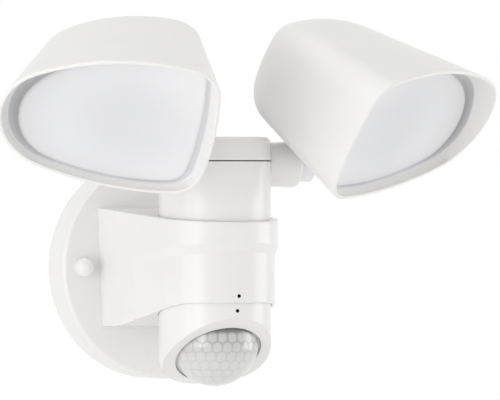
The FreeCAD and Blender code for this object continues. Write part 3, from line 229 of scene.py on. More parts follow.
def milky_lens(name):
    """The lens: a glossy, milky skin over facets, whose tones and painted shade the mesh holds for each point.
    """
    material, nodes, links, shader = new_material(name)
    coords = texture_coordinates(nodes)
    toned(nodes, links, shader, noise(nodes, links, coords, scale=260.0), low=0.97, high=1.0)
    fine = noise(nodes, links, coords, scale=900.0, detail=2.0)
    links.new(spread(nodes, links, fine, low=0.34, high=0.42), shader.inputs["Roughness"])
    bumped(nodes, links, shader, fine, strength=0.2, distance=0.00001)
    set_value(shader, "Specular IOR Level", 0.15)
    set_value(shader, "Coat Weight", 1.0)
    set_value(shader, "Coat IOR", 1.75)
    set_value(shader, "Coat Roughness", 0.03)
    return material


WHITE_WARM = (0.815, 0.809, 0.795)
WHITE_COOL = (0.815, 0.809, 0.797)
WHITE_DRUM = (0.80, 0.815, 0.83)
STEEL = (0.62, 0.63, 0.65)
LOOKS = {
    "white_satin": moulded_plastic("white_satin", WHITE_WARM, 0.36, edge=0.0003),
    "white_gloss": moulded_plastic("white_gloss", WHITE_COOL, 0.23, grain=700.0, depth=0.00001, edge=0.0005),
    "white_lacquer": moulded_plastic("white_lacquer", WHITE_COOL, 0.22, grain=600.0, depth=0.00001,
                                     edge=0.0003),
    "drum_white": moulded_plastic("drum_white", WHITE_DRUM, 0.2, depth=0.00001, edge=0.0003),
    # The opal and the bezel's grey take tones painted on their meshes: painted light and shade in the hood's
    # recess.
    "opal": opal_plastic("opal", 0.47),
    "bezel_grey": opal_plastic("bezel_grey", 0.5),
    "lens_milky": milky_lens("lens_milky"),
    "black_rubber": rubber("black_rubber", (0.02, 0.02, 0.02)),
    "black_ink": rubber("black_ink", (0.004, 0.004, 0.004), shine=0.05),
    "zinc_steel": metal("zinc_steel", STEEL, 0.32, BRUSHED),
    "stainless": metal("stainless", (0.66, 0.66, 0.65), 0.26),
    "brass": metal("brass", (0.70, 0.52, 0.22), 0.28),
    "cast_aluminium": metal("cast_aluminium", (0.66, 0.67, 0.68), 0.5, CAST, scale=300.0, depth=0.00006),
    "board_green": circuit_board("board_green", (0.02, 0.17, 0.06), copper=(0.06, 0.26, 0.10)),
    "board_white": circuit_board("board_white", (0.78, 0.78, 0.76), copper=(0.70, 0.70, 0.66)),
    "emitter": moulded_plastic("emitter", (0.78, 0.62, 0.12), 0.35, coat=0.5),
    "nylon_cream": moulded_plastic("nylon_cream", (0.72, 0.67, 0.52), 0.5),
    "component_dark": moulded_plastic("component_dark", (0.04, 0.04, 0.045), 0.45),
    "dial_grey": moulded_plastic("dial_grey", (0.18, 0.185, 0.19), 0.45),
    "sensor_can": metal("sensor_can", (0.62, 0.62, 0.60), 0.25),
}
# The hood's inside: a lighter copy of the satin white, painted light where the inside lies in shade.
WHITE_INSIDE_PAINTED_LIGHT = moulded_plastic("white_satin_inside_painted_light", (0.865, 0.858, 0.842), 0.42)
SLOT_OF = {entry["node"]: entry["material_slot"] for entry in frame["record"]["subparts"]}


def dress(obj, slot):
    obj.data.materials.clear()
    obj.data.materials.append(LOOKS[slot])


# ---------------------------------------------------------------- mesh helpers
def make_piece(name, body, slot, vertices, faces, replaced=(), smooth_angle=40.0):
    """A mesh piece from millimetre points, smooth but for edges sharper than the angle."""
    mesh = bpy.data.meshes.new(name)
    mesh.from_pydata([Vector(v) * MM for v in vertices], [], faces)
    mesh.validate()
    work = bmesh.new()
    work.from_mesh(mesh)
    bmesh.ops.recalc_face_normals(work, faces=work.faces)
    work.to_mesh(mesh)
    work.free()
    obj = bpy.data.objects.new(name, mesh)
    bpy.context.scene.collection.objects.link(obj)
    mesh.shade_smooth()
    mesh.set_sharp_from_angle(angle=math.radians(smooth_angle))
    dress(obj, slot)
    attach(obj, body)
    if replaced:
        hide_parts(*replaced)
    return obj


def paint_tones(obj, tone_of):
    """Gives each vertex the colour that tone_of has for its index."""
    tones = obj.data.color_attributes.new(TONE, "FLOAT_COLOR", "POINT")
    for index, tone in enumerate(tones.data):
        tone.color = (*tone_of(index), 1.0)


def joined(rings):
    """The points of some rings as one list, ring by ring."""
    return [point for ring in rings for point in ring]


def rings_to_faces(ring_count, size, closed=False):
    """Quads from each ring of points to the next, and from the last to the first where the skin closes."""
    faces = []
    for ring in range(ring_count if closed else ring_count - 1):
        here = ring * size
        there = (ring + 1) % ring_count * size
        for i in range(size):
            j = (i + 1) % size
            faces.append((here + i, here + j, there + j, there + i))
    return faces


def fan(ring_start, size, tip):
    """Triangles from a ring of points to one tip."""
    return [(tip, ring_start + i, ring_start + (i + 1) % size) for i in range(size)]


def between(start, end, share):
    """The point at a share of the way from one point to another."""
    return tuple(a + (b - a) * share for a, b in zip(start, end))


def smooth_step(value, low, high):
    """0 below a range and 1 above it, with a soft rise between."""
    t = min(1.0, max(0.0, (value - low) / (high - low)))
    return t * t * (3 - 2 * t)


# ---------------------------------------------------------------- lamp head form
# The mouth's outline: three round corners (across, up, radius), each joined to the next by a bowed side. Its
# size, across and up, is what that outline comes to.
CORNERS = ((-42.0, -12.4, 19.6), (19.8, -3.4, 33.7), (-40.6, 36.2, 16.3))
BOWS = (172.0, 132.0, 188.0)
MOUTH_SIZE = (115.0, 91.0)
DEPTH = 101.0
WALL = 2.2

# The back is smaller and shifted, across and up, and its dome starts ahead of the tip by its rounding.
BACK_SCALE = (0.57, 0.71)
BACK_SHIFT = (-6.8, -19.8)
BACK_ROUND = 31.0
BACK_START = DEPTH - BACK_ROUND

# The rim is rounded by one radius on its outer edge and another on its inner edge.
RIM_OUTER = 1.4
RIM_INNER = 0.6

CORNER_STEPS = 14
BOW_STEPS = 26
SKIN_STEPS = 16
BACK_STEPS = 14
BACK_STEP_ANGLE = 6.2
RIM_OUTER_STEPS = 6
RIM_INNER_STEPS = 5
RING = len(CORNERS) * (CORNER_STEPS + BOW_STEPS)


def bow_centre(a, b, bow):
    """The centre from which an arc with the bow's radius runs smoothly into two round corners."""
    dx, dz = b[0] - a[0], b[1] - a[1]
    length = math.hypot(dx, dz)
    along = ((bow - a[2]) ** 2 - (bow - b[2]) ** 2 + length ** 2) / (2 * length)
    off = math.sqrt((bow - a[2]) ** 2 - along ** 2)
    return a[0] + (dx * along - dz * off) / length, a[1] + (dz * along + dx * off) / length


def direction(start, end):
    """The unit direction from one point to another, across and up."""
    dx, dz = end[0] - start[0], end[1] - start[1]
    length = math.hypot(dx, dz)
    return dx / length, dz / length


def sweep(centre, radius, start, end, steps):
    """Points of an arc from one direction to another, the short way, without its last point."""
    first = math.atan2(start[1], start[0])
    last = math.atan2(end[1], end[0])
    turn = (last - first + math.pi) % (2 * math.pi) - math.pi
    points = []
    for k in range(steps):
        angle = first + turn * k / steps
        points.append((centre[0] + radius * math.cos(angle), centre[1] + radius * math.sin(angle)))
    return points


def hood_ring(depth, inset=0.0, shrink=1.0, shift=(0.0, 0.0)):
    """The hood's outline at a depth behind its mouth, as points (across, depth, up)."""
    share = depth / DEPTH
    across = 1 + (BACK_SCALE[0] - 1) * share
    up = 1 + (BACK_SCALE[1] - 1) * share
    mean = (across + up) / 2 * shrink
    move_across = BACK_SHIFT[0] * share + shift[0]
    move_up = BACK_SHIFT[1] * share + shift[1]
    corners = [(x * across * shrink + move_across, z * up * shrink + move_up, radius * mean - inset)
               for x, z, radius in CORNERS]
    following = corners[1:] + corners[:1]
    bows = [bow * mean - inset for bow in BOWS]
    centres = [bow_centre(a, b, bow) for a, b, bow in zip(corners, following, bows)]
    points = []
    for i, (corner, after) in enumerate(zip(corners, following)):
        leaving = direction(centres[i], corner)
        points += sweep(corner, corner[2], direction(centres[i - 1], corner), leaving, CORNER_STEPS)
        points += sweep(centres[i], bows[i], leaving, direction(centres[i], after), BOW_STEPS)
    return [(u, depth, v) for u, v in points]


def level(point):
    """From the hood's own frame to its place with no tilt, on the right."""
    u, d, v = point
    x = u * math.cos(YAW) - d * math.sin(YAW) + MOUTH.x
    y = u * math.sin(YAW) + d * math.cos(YAW) + MOUTH.y
    return x, y, v + MOUTH.z


def tilted(point, side):
    """Turns a level right-hand point about the drum's axis to its rest angle, mirrored for the left."""
    angle = math.radians(REST_TILT[side])
    x, y, z = point
    dy, dz = y - AXIS_Y, z - TILT_Z
    y2 = dy * math.cos(angle) - dz * math.sin(angle) + AXIS_Y
    z2 = dy * math.sin(angle) + dz * math.cos(angle) + TILT_Z
    return (x if side == "right" else -x), y2, z2


def on_head(points, side):
    """Points of the hood's own frame at their place on that side's head."""
    return [tilted(level(point), side) for point in points]


def ring_centre(ring):
    return tuple(sum(values) / len(ring) for values in zip(*ring))


# ---------------------------------------------------------------- hood
def back_rings(wall):
    """The rings of the domed back, this far inside its outer skin, from its start to near its tip."""
    rings = []
    radius = BACK_ROUND - wall
    half_back = (MOUTH_SIZE[0] * BACK_SCALE[0] + MOUTH_SIZE[1] * BACK_SCALE[1]) / 4
    for step in range(1, BACK_STEPS + 1):
        turn = math.radians(BACK_STEP_ANGLE * step)
        shrink = 1 - radius * (1 - math.cos(turn)) / (half_back - wall)
        rings.append(hood_ring(BACK_START + radius * math.sin(turn), wall * shrink, shrink))
    return rings


def rim_rings():
    """The rounded rim, from the outer skin round to where the inner skin starts."""
    rings = []
    for k in range(1, RIM_OUTER_STEPS + 1):
        angle = math.radians(90 / RIM_OUTER_STEPS * k)
        rings.append(hood_ring(RIM_OUTER * (1 - math.sin(angle)), RIM_OUTER * (1 - math.cos(angle))))
    for k in range(RIM_INNER_STEPS + 1):
        angle = math.radians(90 / RIM_INNER_STEPS * k)
        rings.append(hood_ring(RIM_INNER * (1 - math.cos(angle)), WALL - RIM_INNER * (1 - math.sin(angle))))
    return rings


def hood(side):
    """Outer skin with its domed back, the rim, and the inner skin in a lighter white, painted light on its
    shade.

    The inner skin starts with a ring of its own where the rim ends, which keeps their shading apart.
    """
    outer = back_rings(0.0)[::-1]
    inner = []
    for k in range(SKIN_STEPS + 1):
        share = k / SKIN_STEPS
        outer.append(hood_ring(BACK_START - (BACK_START - RIM_OUTER) * share))
        inner.append(hood_ring(RIM_INNER + (BACK_START - RIM_INNER) * share, WALL))
    inner += back_rings(WALL)
    rim = rim_rings()
    rings = outer + rim + inner
    own = joined(rings) + [ring_centre(rings[0]), ring_centre(rings[-1])]
    faces = rings_to_faces(len(rings), RING)
    faces += fan(0, RING, len(own) - 2)
    faces += fan((len(rings) - 1) * RING, RING, len(own) - 1)
    obj = make_piece(side + "_hood_shell", side + "_head", "white_satin", on_head(own, side), faces,
                     replaced=(side + "_hood",), smooth_angle=50.0)
    obj.data.materials.append(WHITE_INSIDE_PAINTED_LIGHT)
    first_inside = (len(outer) + len(rim)) * RING
    for face in obj.data.polygons:
        if min(face.vertices) >= first_inside:
            face.material_index = 1


# The boss by which the hood turns on its knuckle. Heights are above the tilt axis.
SWIVEL_X = 56.0
BOSS_RADIUS = 9.0
BOSS_BORE = 6.1
BOSS_FOOT = 13.9
BOSS_TOP = 22.5
BOSS_STEPS = 72

# Its eased lower edge, as points up from the foot and in from the side.
BOSS_EASE = ((0.0, 0.6), (0.15, 0.2), (0.6, 0.0))


def hood_boss(side):
    """A bored cylinder about the swivel's axis of a level head, tilted with it."""
    profile = [(BOSS_FOOT, BOSS_BORE)]
    profile += [(BOSS_FOOT + up, BOSS_RADIUS - inward) for up, inward in BOSS_EASE]
    profile += [(BOSS_TOP, BOSS_RADIUS), (BOSS_TOP, BOSS_BORE)]
    points = []
    for height, radius in profile:
        for k in range(BOSS_STEPS):
            angle = 2 * math.pi * k / BOSS_STEPS
            x = SWIVEL_X + radius * math.cos(angle)
            y = AXIS_Y + radius * math.sin(angle)
            points.append(tilted((x, y, TILT_Z + height), side))
    faces = rings_to_faces(len(profile), BOSS_STEPS, closed=True)
    make_piece(side + "_hood_boss", side + "_head", "white_satin", points, faces, smooth_angle=32.0)


# ---------------------------------------------------------------- diffuser and its ring
# The tray follows the hood's outline at the recess: moved in and shifted, narrowed, and stretched by its own
# factors above and below its middle. It leans about a level line, and keeps some room to the hood's wall.
RECESS = 11.0
TRAY_INSET = 6.0
TRAY_SHIFT = (-1.5, -2.4)
TRAY_NARROW = 0.985
TRAY_UPPER = 1.18
TRAY_LOWER = 1.03
TRAY_LEAN = 0.11
LEAN_HEIGHT = 2.0
TRAY_ROOM = 0.6
TRAY_HEIGHT = 4.2
TRAY_EDGE = 2.6
TRAY_CROWN = 0.7
TRAY_RETURN = 1.8
SHEET_STEPS = 18
EDGE_STEPS = 8

# Heights over which the stretch sets in, and over which the hood's wall comes to limit the tray.
STRETCH_RANGE = (0.0, 16.0)
LIMIT_RANGE = (14.0, 28.0)

# The ring runs down from its crest on the hood's wall to its foot on the tray's edge. Its crest lies further
# ahead of the foot along the lower side, and its lip is sunk into the wall.
FOOT_DEPTH = 1.0
FOOT_INSET = 0.7
CREST_RISE = 0.4
LOWER_RISE = 1.6
LOWER_RANGE = (4.0, 24.0)
LIP_SINK = 0.06
LIP_DEPTH = 0.3
RING_THICKNESS = 3.0
RING_GAP = 0.2
SLOPE_STEPS = 12

# Tones of the sheet, mostly painted light and shade. It lightens towards its border, by shares of its reach,
# and towards the column as painted light, and darkens outward as painted shade, by millimetres across. Its
# last rows and its edge take on some of the ring's painted shade.
OPAL_COLOUR = (0.692, 0.694, 0.704)
SHEET_REACH = (52.0, 36.0)
BORDER_LIFT = 0.08
BORDER_RANGE = (0.25, 1.0)
COLUMN_PAINTED_LIGHT = 0.08
COLUMN_RANGE = (5.0, 50.0)
TRAY_OUTER_SHADE = 0.1
OUTER_RANGE = (10.0, 50.0)
EDGE_PAINTED_SHADE = 0.6
EDGE_ROWS = (SHEET_STEPS - 2, SHEET_STEPS + EDGE_STEPS)

# Tones of the ring: its grey, a little blue, is painted shade of the recess, darker outward and towards
# the column, by millimetres across.
RING_SHADE_GREY = 0.64
OUTER_SHADE_DROP = 0.19
OUTER_SHADE_RANGE = (8.0, 50.0)
COLUMN_SHADE_DROP = 0.07
COLUMN_SHADE_RANGE = (15.0, 40.0)
RING_BLUE = 1.025

# Down the ring's slope, by rows, from the crest in row 1 to the foot: the wall's tone at the crest ends sooner
# on the outer side, the painted shade is darkest there in the lower rows, and the last rows blend into the
# sheet.
FOOT_ROW = 1 + SLOPE_STEPS
WALL_TONE = 0.78
OUTER_SIDE = (0.0, 40.0)
CREST_ROWS = (2.2, 8.0)
CREST_OUTER_CUT = 4.4
SLOPE_SHADE_START = 1.06
SLOPE_OUTER_SHADE = 0.3
SLOPE_ROWS = (4.0, FOOT_ROW - 1)
FOOT_BLEND = 0.3
FOOT_OUTER_CUT = 0.1
FOOT_ROWS = (FOOT_ROW - 2, FOOT_ROW)


def tray_outline(behind, inset):
    """The tray's outline so far behind its front, which leans: its lower edge is nearest the mouth."""
    outline = []
    for i, (u, _, v) in enumerate(hood_ring(RECESS, inset, shift=TRAY_SHIFT)):
        upper = (TRAY_UPPER - 1) * smooth_step(v, *STRETCH_RANGE)
        lower = (TRAY_LOWER - 1) * smooth_step(-v, *STRETCH_RANGE)
        v *= 1 + upper + lower
        depth = RECESS + TRAY_LEAN * (v - LEAN_HEIGHT) + behind
        beyond = max(0.0, v - hood_ring(depth, WALL + TRAY_ROOM)[i][2])
        v -= beyond * smooth_step(v, *LIMIT_RANGE)
        outline.append((u * TRAY_NARROW, depth, v))
    return outline


def ring_painted_shade(across):
    """The ring's grey, painted shade, darker towards both ends and most on the outer side."""
    outer = OUTER_SHADE_DROP * smooth_step(across, *OUTER_SHADE_RANGE)
    column = COLUMN_SHADE_DROP * smooth_step(-across, *COLUMN_SHADE_RANGE)
    return RING_SHADE_GREY - outer - column


def diffuser(side):
    """The opal tray: a slightly crowned front, a soft edge, its side, and a narrow return behind."""
    base = tray_outline(0.0, TRAY_INSET + TRAY_EDGE)
    middle = ring_centre(base)
    rings = []
    for k in range(1, SHEET_STEPS + 1):
        share = k / SHEET_STEPS
        crown = TRAY_CROWN * (1 - share * share)
        sheet = [between(middle, point, share) for point in base]
        rings.append([(u, d - crown, v) for u, d, v in sheet])
    for k in range(1, EDGE_STEPS + 1):
        angle = math.radians(90 / EDGE_STEPS * k)
        inset = TRAY_INSET + TRAY_EDGE * (1 - math.sin(angle))
        rings.append(tray_outline(TRAY_EDGE * (1 - math.cos(angle)), inset))
    rings.append(tray_outline(TRAY_HEIGHT, TRAY_INSET))
    rings.append(tray_outline(TRAY_HEIGHT, TRAY_INSET + TRAY_RETURN))
    own = joined(rings) + [(middle[0], middle[1] - TRAY_CROWN, middle[2])]
    tip = len(own) - 1
    faces = rings_to_faces(len(rings), RING) + fan(0, RING, tip)
    obj = make_piece(side + "_diffuser_tray", side + "_head", "opal", on_head(own, side), faces,
                     replaced=(side + "_diffuser",))

    def tone(index):
        """Lighter towards the border, painted light towards the column, and painted shade outward and round
        the edge.
        """
        u, _, v = own[index]
        off = math.hypot((u - middle[0]) / SHEET_REACH[0], (v - middle[2]) / SHEET_REACH[1])
        lift = 1.0 + BORDER_LIFT * smooth_step(off, *BORDER_RANGE)
        lift += COLUMN_PAINTED_LIGHT * smooth_step(-u, *COLUMN_RANGE)
        lift -= TRAY_OUTER_SHADE * smooth_step(u, *OUTER_RANGE)
        row = 0 if index == tip else index // RING
        edge = EDGE_PAINTED_SHADE * smooth_step(row, *EDGE_ROWS)
        return tuple(c * lift * (1 - edge) + ring_painted_shade(u) * edge for c in OPAL_COLOUR)

    paint_tones(obj, tone)


def bezel_ring(side):
    """The slanted ring between the hood's wall and the tray, its painted shade darkest on the outer side."""
    foot = tray_outline(FOOT_DEPTH, TRAY_INSET + FOOT_INSET)
    crest = []
    for i, (_, depth, v) in enumerate(foot):
        ahead = CREST_RISE + LOWER_RISE * smooth_step(-v, *LOWER_RANGE)
        crest.append(hood_ring(depth - ahead, WALL - LIP_SINK)[i])
    rings = [[(u, d + LIP_DEPTH, v) for u, d, v in crest], crest]
    for k in range(1, SLOPE_STEPS + 1):
        share = k / SLOPE_STEPS
        rings.append([between(high, low, share) for high, low in zip(crest, foot)])
    rings.append(tray_outline(RING_THICKNESS, TRAY_INSET - RING_GAP))
    rings.append([(high[0], low[1] + RING_THICKNESS, high[2]) for high, low in zip(crest, foot)])
    own = joined(rings)
    faces = rings_to_faces(len(rings), RING, closed=True)
    obj = make_piece(side + "_bezel_ring", side + "_head", "bezel_grey", on_head(own, side), faces,
                     replaced=(side + "_bezel",))

    def tone(index):
        """Like the wall at its crest, then its painted shade, and softly into the tray at its foot."""
        row = index // RING
        across = own[index][0]
        outer = smooth_step(across, *OUTER_SIDE)
        crown = 1 - smooth_step(row, CREST_ROWS[0], CREST_ROWS[1] - CREST_OUTER_CUT * outer)
        soft = (FOOT_BLEND - FOOT_OUTER_CUT * outer) * smooth_step(row, *FOOT_ROWS)
        grey = ring_painted_shade(across) * (SLOPE_SHADE_START - SLOPE_OUTER_SHADE * outer * smooth_step(row, *SLOPE_ROWS))
        value = grey * (1 - crown - soft) + WALL_TONE * crown + OPAL_COLOUR[0] * soft
        return value, value, value * RING_BLUE

    paint_tones(obj, tone)


# ---------------------------------------------------------------- lens
# The lens sits in the sensor's sloped face. Distances behind the face are along its normal.
FACE_SLOPE = math.radians(37.0)
FACE_NORMAL = Vector((0.0, -math.sin(FACE_SLOPE), -math.cos(FACE_SLOPE)))
FACE_CENTRE = Vector((0.0, AXIS_Y - 4.6, -46.2))
DOME_BEHIND = 8.3
DOME_CENTRE = FACE_CENTRE - FACE_NORMAL * DOME_BEHIND
DOME_RADIUS = 23.70
DOME_WALL = 1.2
LENS_DOME_STEPS = 100
LENS_STEPS = 480

# Round the dome run a ledge, then a collar in the face's hole, then a flange behind it. The inside widens
# from the flange's back to its top.
LEDGE_RADIUS = 22.9
LEDGE_BEHIND = 0.7
COLLAR_RADIUS = 23.35
FLANGE_RADIUS = 25.0
FLANGE_BEHIND = 2.2
FLANGE_THICKNESS = 1.5
INSIDE_RADIUS = 21.0
INSIDE_TOP_RADIUS = 21.9
INSIDE_TOP_BEHIND = 1.3

# The collar's eased edge, as points in from its radius and behind the face.
COLLAR_EASE = ((0.15, 0.72), (0.0, 0.9))

# The facets lie in level rows inside the dome. Pitches along and between the rows are in millimetres. The top
# row's rise, and how far from the face's normal the facets reach, are in degrees.
FACET_PITCH = 5.27
ROW_PITCH = 5.0
TOP_ROW = 6.0
FACET_REACH = 72.0

# Tones of the lens. A facet's tone sets in over some millimetres from its edge and dulls far from its
# centre: the cells' outlines, and painted shade of each facet's relief. Facets and edges darken up the dome as
# painted shade, by degrees of rise, and most in a painted shadow band under its upper rim.
FACET_TONE = 0.665
FACET_UPPER_SHADE = 0.11
EDGE_DROP = 0.055
EDGE_UPPER_SHADE = 0.13
EDGE_UPPER_POWER = 1.5
FACET_EDGE = (0.05, 0.9)
FACET_CORNER = (2.2, 3.0)
CORNER_SHADE = 0.6
UPPER_SHADE_RANGE = (-34.0, 10.0)
RIM_SHADOW_RANGE = (8.5, 15.5)
RIM_SHADOW_DROP = 0.62
LENS_GREEN = 0.995
LENS_BLUE = 0.965
LENS_UPPER_BLUE = 0.015
COLLAR_TONE = (0.45, 0.45, 0.44)
DOME_TOLERANCE = 0.01


def facet_centres():
    """Directions of the facets from the dome's centre: level rows, each half a facet out of step."""
    inside = DOME_RADIUS - DOME_WALL
    row_step = math.degrees(ROW_PITCH / inside)
    centres = []
    for row in range(int((TOP_ROW + 90) / row_step) + 1):
        rise = math.radians(TOP_ROW - row * row_step)
        flat = math.cos(rise)
        count = max(1, round(2 * math.pi * inside * flat / FACET_PITCH))
        for i in range(count):
            turn = 2 * math.pi * (i + (row % 2) / 2) / count
            centres.append(Vector((math.sin(turn) * flat, -math.cos(turn) * flat, math.sin(rise))))
    least = math.cos(math.radians(FACET_REACH))
    return [centre for centre in centres if centre.dot(FACE_NORMAL) > least]


def lens_tone(outward, centres):
    """Colour where a direction leaves the dome: facets lighter than edges, painted shade in part, and up at
    the rim.
    """
    distances = sorted(outward.angle(centre) * (DOME_RADIUS - DOME_WALL) for centre in centres)
    nearest, second = distances[:2]
    corner = 1 - CORNER_SHADE * smooth_step(nearest, *FACET_CORNER)
    inside = smooth_step((second - nearest) / 2, *FACET_EDGE) * corner
    rise = math.degrees(math.asin(outward.z))
    upper = smooth_step(rise, *UPPER_SHADE_RANGE)
    facet = FACET_TONE - FACET_UPPER_SHADE * upper
    edge = facet - EDGE_DROP - EDGE_UPPER_SHADE * upper ** EDGE_UPPER_POWER
    rim_shadow = 1 - RIM_SHADOW_DROP * smooth_step(rise, *RIM_SHADOW_RANGE)
    value = (edge + (facet - edge) * inside) * rim_shadow
    return value, value * LENS_GREEN, value * (LENS_BLUE + LENS_UPPER_BLUE * upper)


def lens():
    """The dome with its ledge, collar and flange, as one turned skin round the face's normal."""
    rim = math.acos((DOME_BEHIND - LEDGE_BEHIND) / DOME_RADIUS)
    flange_back = FLANGE_BEHIND + FLANGE_THICKNESS
    profile = []
    for k in range(1, LENS_DOME_STEPS + 1):
        angle = rim * k / LENS_DOME_STEPS
        profile.append((DOME_RADIUS * math.sin(angle), DOME_BEHIND - DOME_RADIUS * math.cos(angle)))
    profile.append((LEDGE_RADIUS, LEDGE_BEHIND))
    profile += [(COLLAR_RADIUS - inward, behind) for inward, behind in COLLAR_EASE]
    profile += [(COLLAR_RADIUS, FLANGE_BEHIND), (FLANGE_RADIUS, FLANGE_BEHIND), (FLANGE_RADIUS, flange_back)]
    profile += [(INSIDE_RADIUS, flange_back), (INSIDE_TOP_RADIUS, INSIDE_TOP_BEHIND)]
    across = Vector((1.0, 0.0, 0.0))
    up = FACE_NORMAL.cross(across)
    points = []
    for radius, behind in profile:
        for k in range(LENS_STEPS):
            angle = 2 * math.pi * k / LENS_STEPS
            outward = across * math.cos(angle) + up * math.sin(angle)
            points.append(FACE_CENTRE - FACE_NORMAL * behind + outward * radius)
    points.append(DOME_CENTRE + FACE_NORMAL * DOME_RADIUS)
    faces = rings_to_faces(len(profile), LENS_STEPS) + fan(0, LENS_STEPS, len(points) - 1)
    obj = make_piece("pir_lens_dome", "sensor", "lens_milky", points, faces, replaced=("pir_lens",))
    centres = facet_centres()

    def tone(index):
        """The facets' tones on the dome, and one tone on all that is behind it."""
        from_centre = points[index] - DOME_CENTRE
        on_dome = abs(from_centre.length - DOME_RADIUS) < DOME_TOLERANCE
        return lens_tone(from_centre.normalized(), centres) if on_dome else COLLAR_TONE

    paint_tones(obj, tone)


lens()
for side in SIDES:
    hood(side)
    hood_boss(side)
    diffuser(side)
    bezel_ring(side)

for name, obj in frame["nodes"].items():
    dress(obj, SLOT_OF[name])


# ---------------------------------------------------------------- stage
# The floor's height and half its width are in metres.
FLOOR_Z = -0.35
FLOOR_HALF = 4.0
PAPER_GREY = (0.28, 0.28, 0.28)
WHITE = (1.0, 1.0, 1.0, 1.0)


def paper(name, colour):
    """Matt studio paper with a faint tooth. Its own glow makes it pale, and it still shows a shadow."""
    material, nodes, links, shader = new_material(name)
    coords = texture_coordinates(nodes)
    tooth = noise(nodes, links, coords, scale=40.0, detail=4.0)
    toothed = ramp(nodes, links, tooth, low=shade(colour, 0.99), high=colour)
    links.new(toothed, shader.inputs["Base Color"])
    set_value(shader, "Roughness", 0.9)
    set_value(shader, "Emission Color", WHITE)
    set_value(shader, "Emission Strength", 0.7)
    return material


def studio_floor():
    """A wide floor under the light. It lights no matt surface and casts no shadow."""
    mesh = bpy.data.meshes.new("floor")
    signs = ((-1, -1), (1, -1), (1, 1), (-1, 1))
    mesh.from_pydata([(FLOOR_HALF * x, FLOOR_HALF * y, FLOOR_Z) for x, y in signs], [], [(0, 1, 2, 3)])
    mesh.materials.append(paper("floor_paper", PAPER_GREY))
    obj = bpy.data.objects.new("floor", mesh)
    bpy.context.scene.collection.objects.link(obj)
    obj.visible_diffuse = False
    obj.visible_shadow = False
    return obj


floor = studio_floor()


# ---------------------------------------------------------------- light
# The room's light on matt surfaces, for directions below and above the horizon, and where it changes.
ROOM_BELOW = 0.88
ROOM_ABOVE = 0.63
HORIZON = 0.15


def either(nodes, links, first, second):
    """1 where either of two values is 1."""
    node = nodes.new("ShaderNodeMath")
    node.operation = "MAXIMUM"
    links.new(first, node.inputs[0])
    links.new(second, node.inputs[1])
    return node.outputs["Value"]


def studio_world():
    """Plain white where it is seen, mirrored or seen through a surface, and the room's light elsewhere."""
    world = bpy.data.worlds.new("studio")
    bpy.context.scene.world = world
    world.use_nodes = True
    nodes = world.node_tree.nodes
    links = world.node_tree.links

    room = nodes["Background"]
    room.inputs["Color"].default_value = WHITE
    height = nodes.new("ShaderNodeSeparateXYZ")
    links.new(nodes.new("ShaderNodeTexCoord").outputs["Generated"], height.inputs["Vector"])
    fade = nodes.new("ShaderNodeMapRange")
    fade.inputs["From Min"].default_value = -HORIZON
    fade.inputs["From Max"].default_value = HORIZON
    fade.inputs["To Min"].default_value = ROOM_BELOW
    fade.inputs["To Max"].default_value = ROOM_ABOVE
    links.new(height.outputs["Z"], fade.inputs["Value"])
    links.new(fade.outputs["Result"], room.inputs["Strength"])

    plain = nodes.new("ShaderNodeBackground")
    plain.inputs["Color"].default_value = WHITE
    rays = nodes.new("ShaderNodeLightPath").outputs
    seen = either(nodes, links, rays["Is Camera Ray"], rays["Is Glossy Ray"])
    seen = either(nodes, links, seen, rays["Is Transmission Ray"])
    mixed = nodes.new("ShaderNodeMixShader")
    links.new(seen, mixed.inputs["Fac"])
    links.new(room.outputs["Background"], mixed.inputs[1])
    links.new(plain.outputs["Background"], mixed.inputs[2])
    links.new(mixed.outputs["Shader"], nodes["World Output"].inputs["Surface"])


# The panels and the camera go by the photograph's view, which is level and from the left of straight ahead.
# Places are in metres.
VIEW_ANGLE = math.radians(-24.0)
TOWARDS_CAMERA = Vector((math.sin(VIEW_ANGLE), -math.cos(VIEW_ANGLE), 0.0))
CAMERA_RIGHT = Vector((math.cos(VIEW_ANGLE), math.sin(VIEW_ANGLE), 0.0))
UPWARD = Vector((0.0, 0.0, 1.0))
LIT_CENTRE = Vector((0.0, AXIS_Y * MM, 0.04))
PANEL_DISTANCE = 1.4


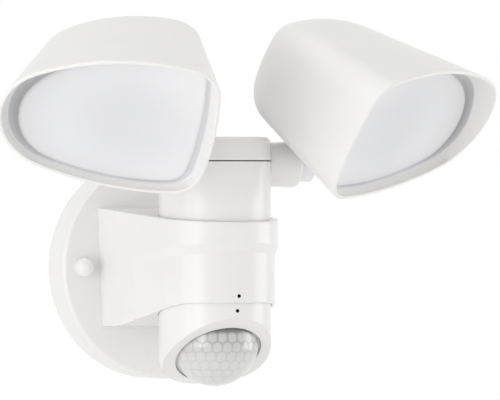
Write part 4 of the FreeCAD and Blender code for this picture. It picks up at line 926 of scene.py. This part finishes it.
def panel(name, around, rise, width, height, radiance):
    """A soft box by its direction and its angular size, in degrees.

    The direction is seen from the object: around to the camera's right, and up from level.
    """
    turn = math.radians(around)
    lift = math.radians(rise)
    level_part = TOWARDS_CAMERA * math.cos(turn) + CAMERA_RIGHT * math.sin(turn)
    towards = level_part * math.cos(lift) + UPWARD * math.sin(lift)
    data = bpy.data.lights.new(name, "AREA")
    data.shape = "RECTANGLE"
    data.size = 2 * PANEL_DISTANCE * math.tan(math.radians(width / 2))
    data.size_y = 2 * PANEL_DISTANCE * math.tan(math.radians(height / 2))
    data.energy = radiance * math.pi * data.size * data.size_y
    lamp = bpy.data.objects.new(name, data)
    bpy.context.scene.collection.objects.link(lamp)
    lamp.location = LIT_CENTRE + towards * PANEL_DISTANCE
    lamp.rotation_euler = (-towards).to_track_quat("-Z", "Y").to_euler()


studio_world()
panel("left_box", around=-46, rise=-2, width=38, height=40, radiance=1.4)
panel("window_box", around=-28, rise=-2, width=24, height=32, radiance=1.2)
panel("right_box", around=100, rise=0, width=33, height=44, radiance=1.9)
panel("top_box", around=0, rise=75, width=60, height=60, radiance=0.5)
panel("upper_left_box", around=-40, rise=50, width=50, height=40, radiance=0.42)
panel("low_box", around=-30, rise=-24, width=30, height=24, radiance=0.45)


# ---------------------------------------------------------------- camera
# A very long lens, for a view that is nearly parallel. The camera's reach, the frame's width and the aim are
# in metres.
CAMERA_LENS = 1000.0
CAMERA_SENSOR = 36.0
CAMERA_REACH = 60.0
FRAME_WIDTH = 0.2671
AIM_Z = 0.0361
AIM_RIGHT = 0.0188


def studio_camera():
    """Looks level at the light from the photograph's side."""
    aim = Vector((0.0, AXIS_Y * MM, AIM_Z)) + CAMERA_RIGHT * AIM_RIGHT
    data = bpy.data.cameras.new("camera")
    data.lens = CAMERA_LENS
    data.sensor_width = CAMERA_SENSOR
    data.clip_end = CAMERA_REACH
    camera = bpy.data.objects.new("camera", data)
    bpy.context.scene.collection.objects.link(camera)
    camera.location = aim + TOWARDS_CAMERA * (CAMERA_LENS / CAMERA_SENSOR * FRAME_WIDTH)
    camera.rotation_euler = (aim - camera.location).to_track_quat("-Z", "Y").to_euler()
    bpy.context.scene.camera = camera


studio_camera()
bpy.context.scene.view_settings.view_transform = "Standard"
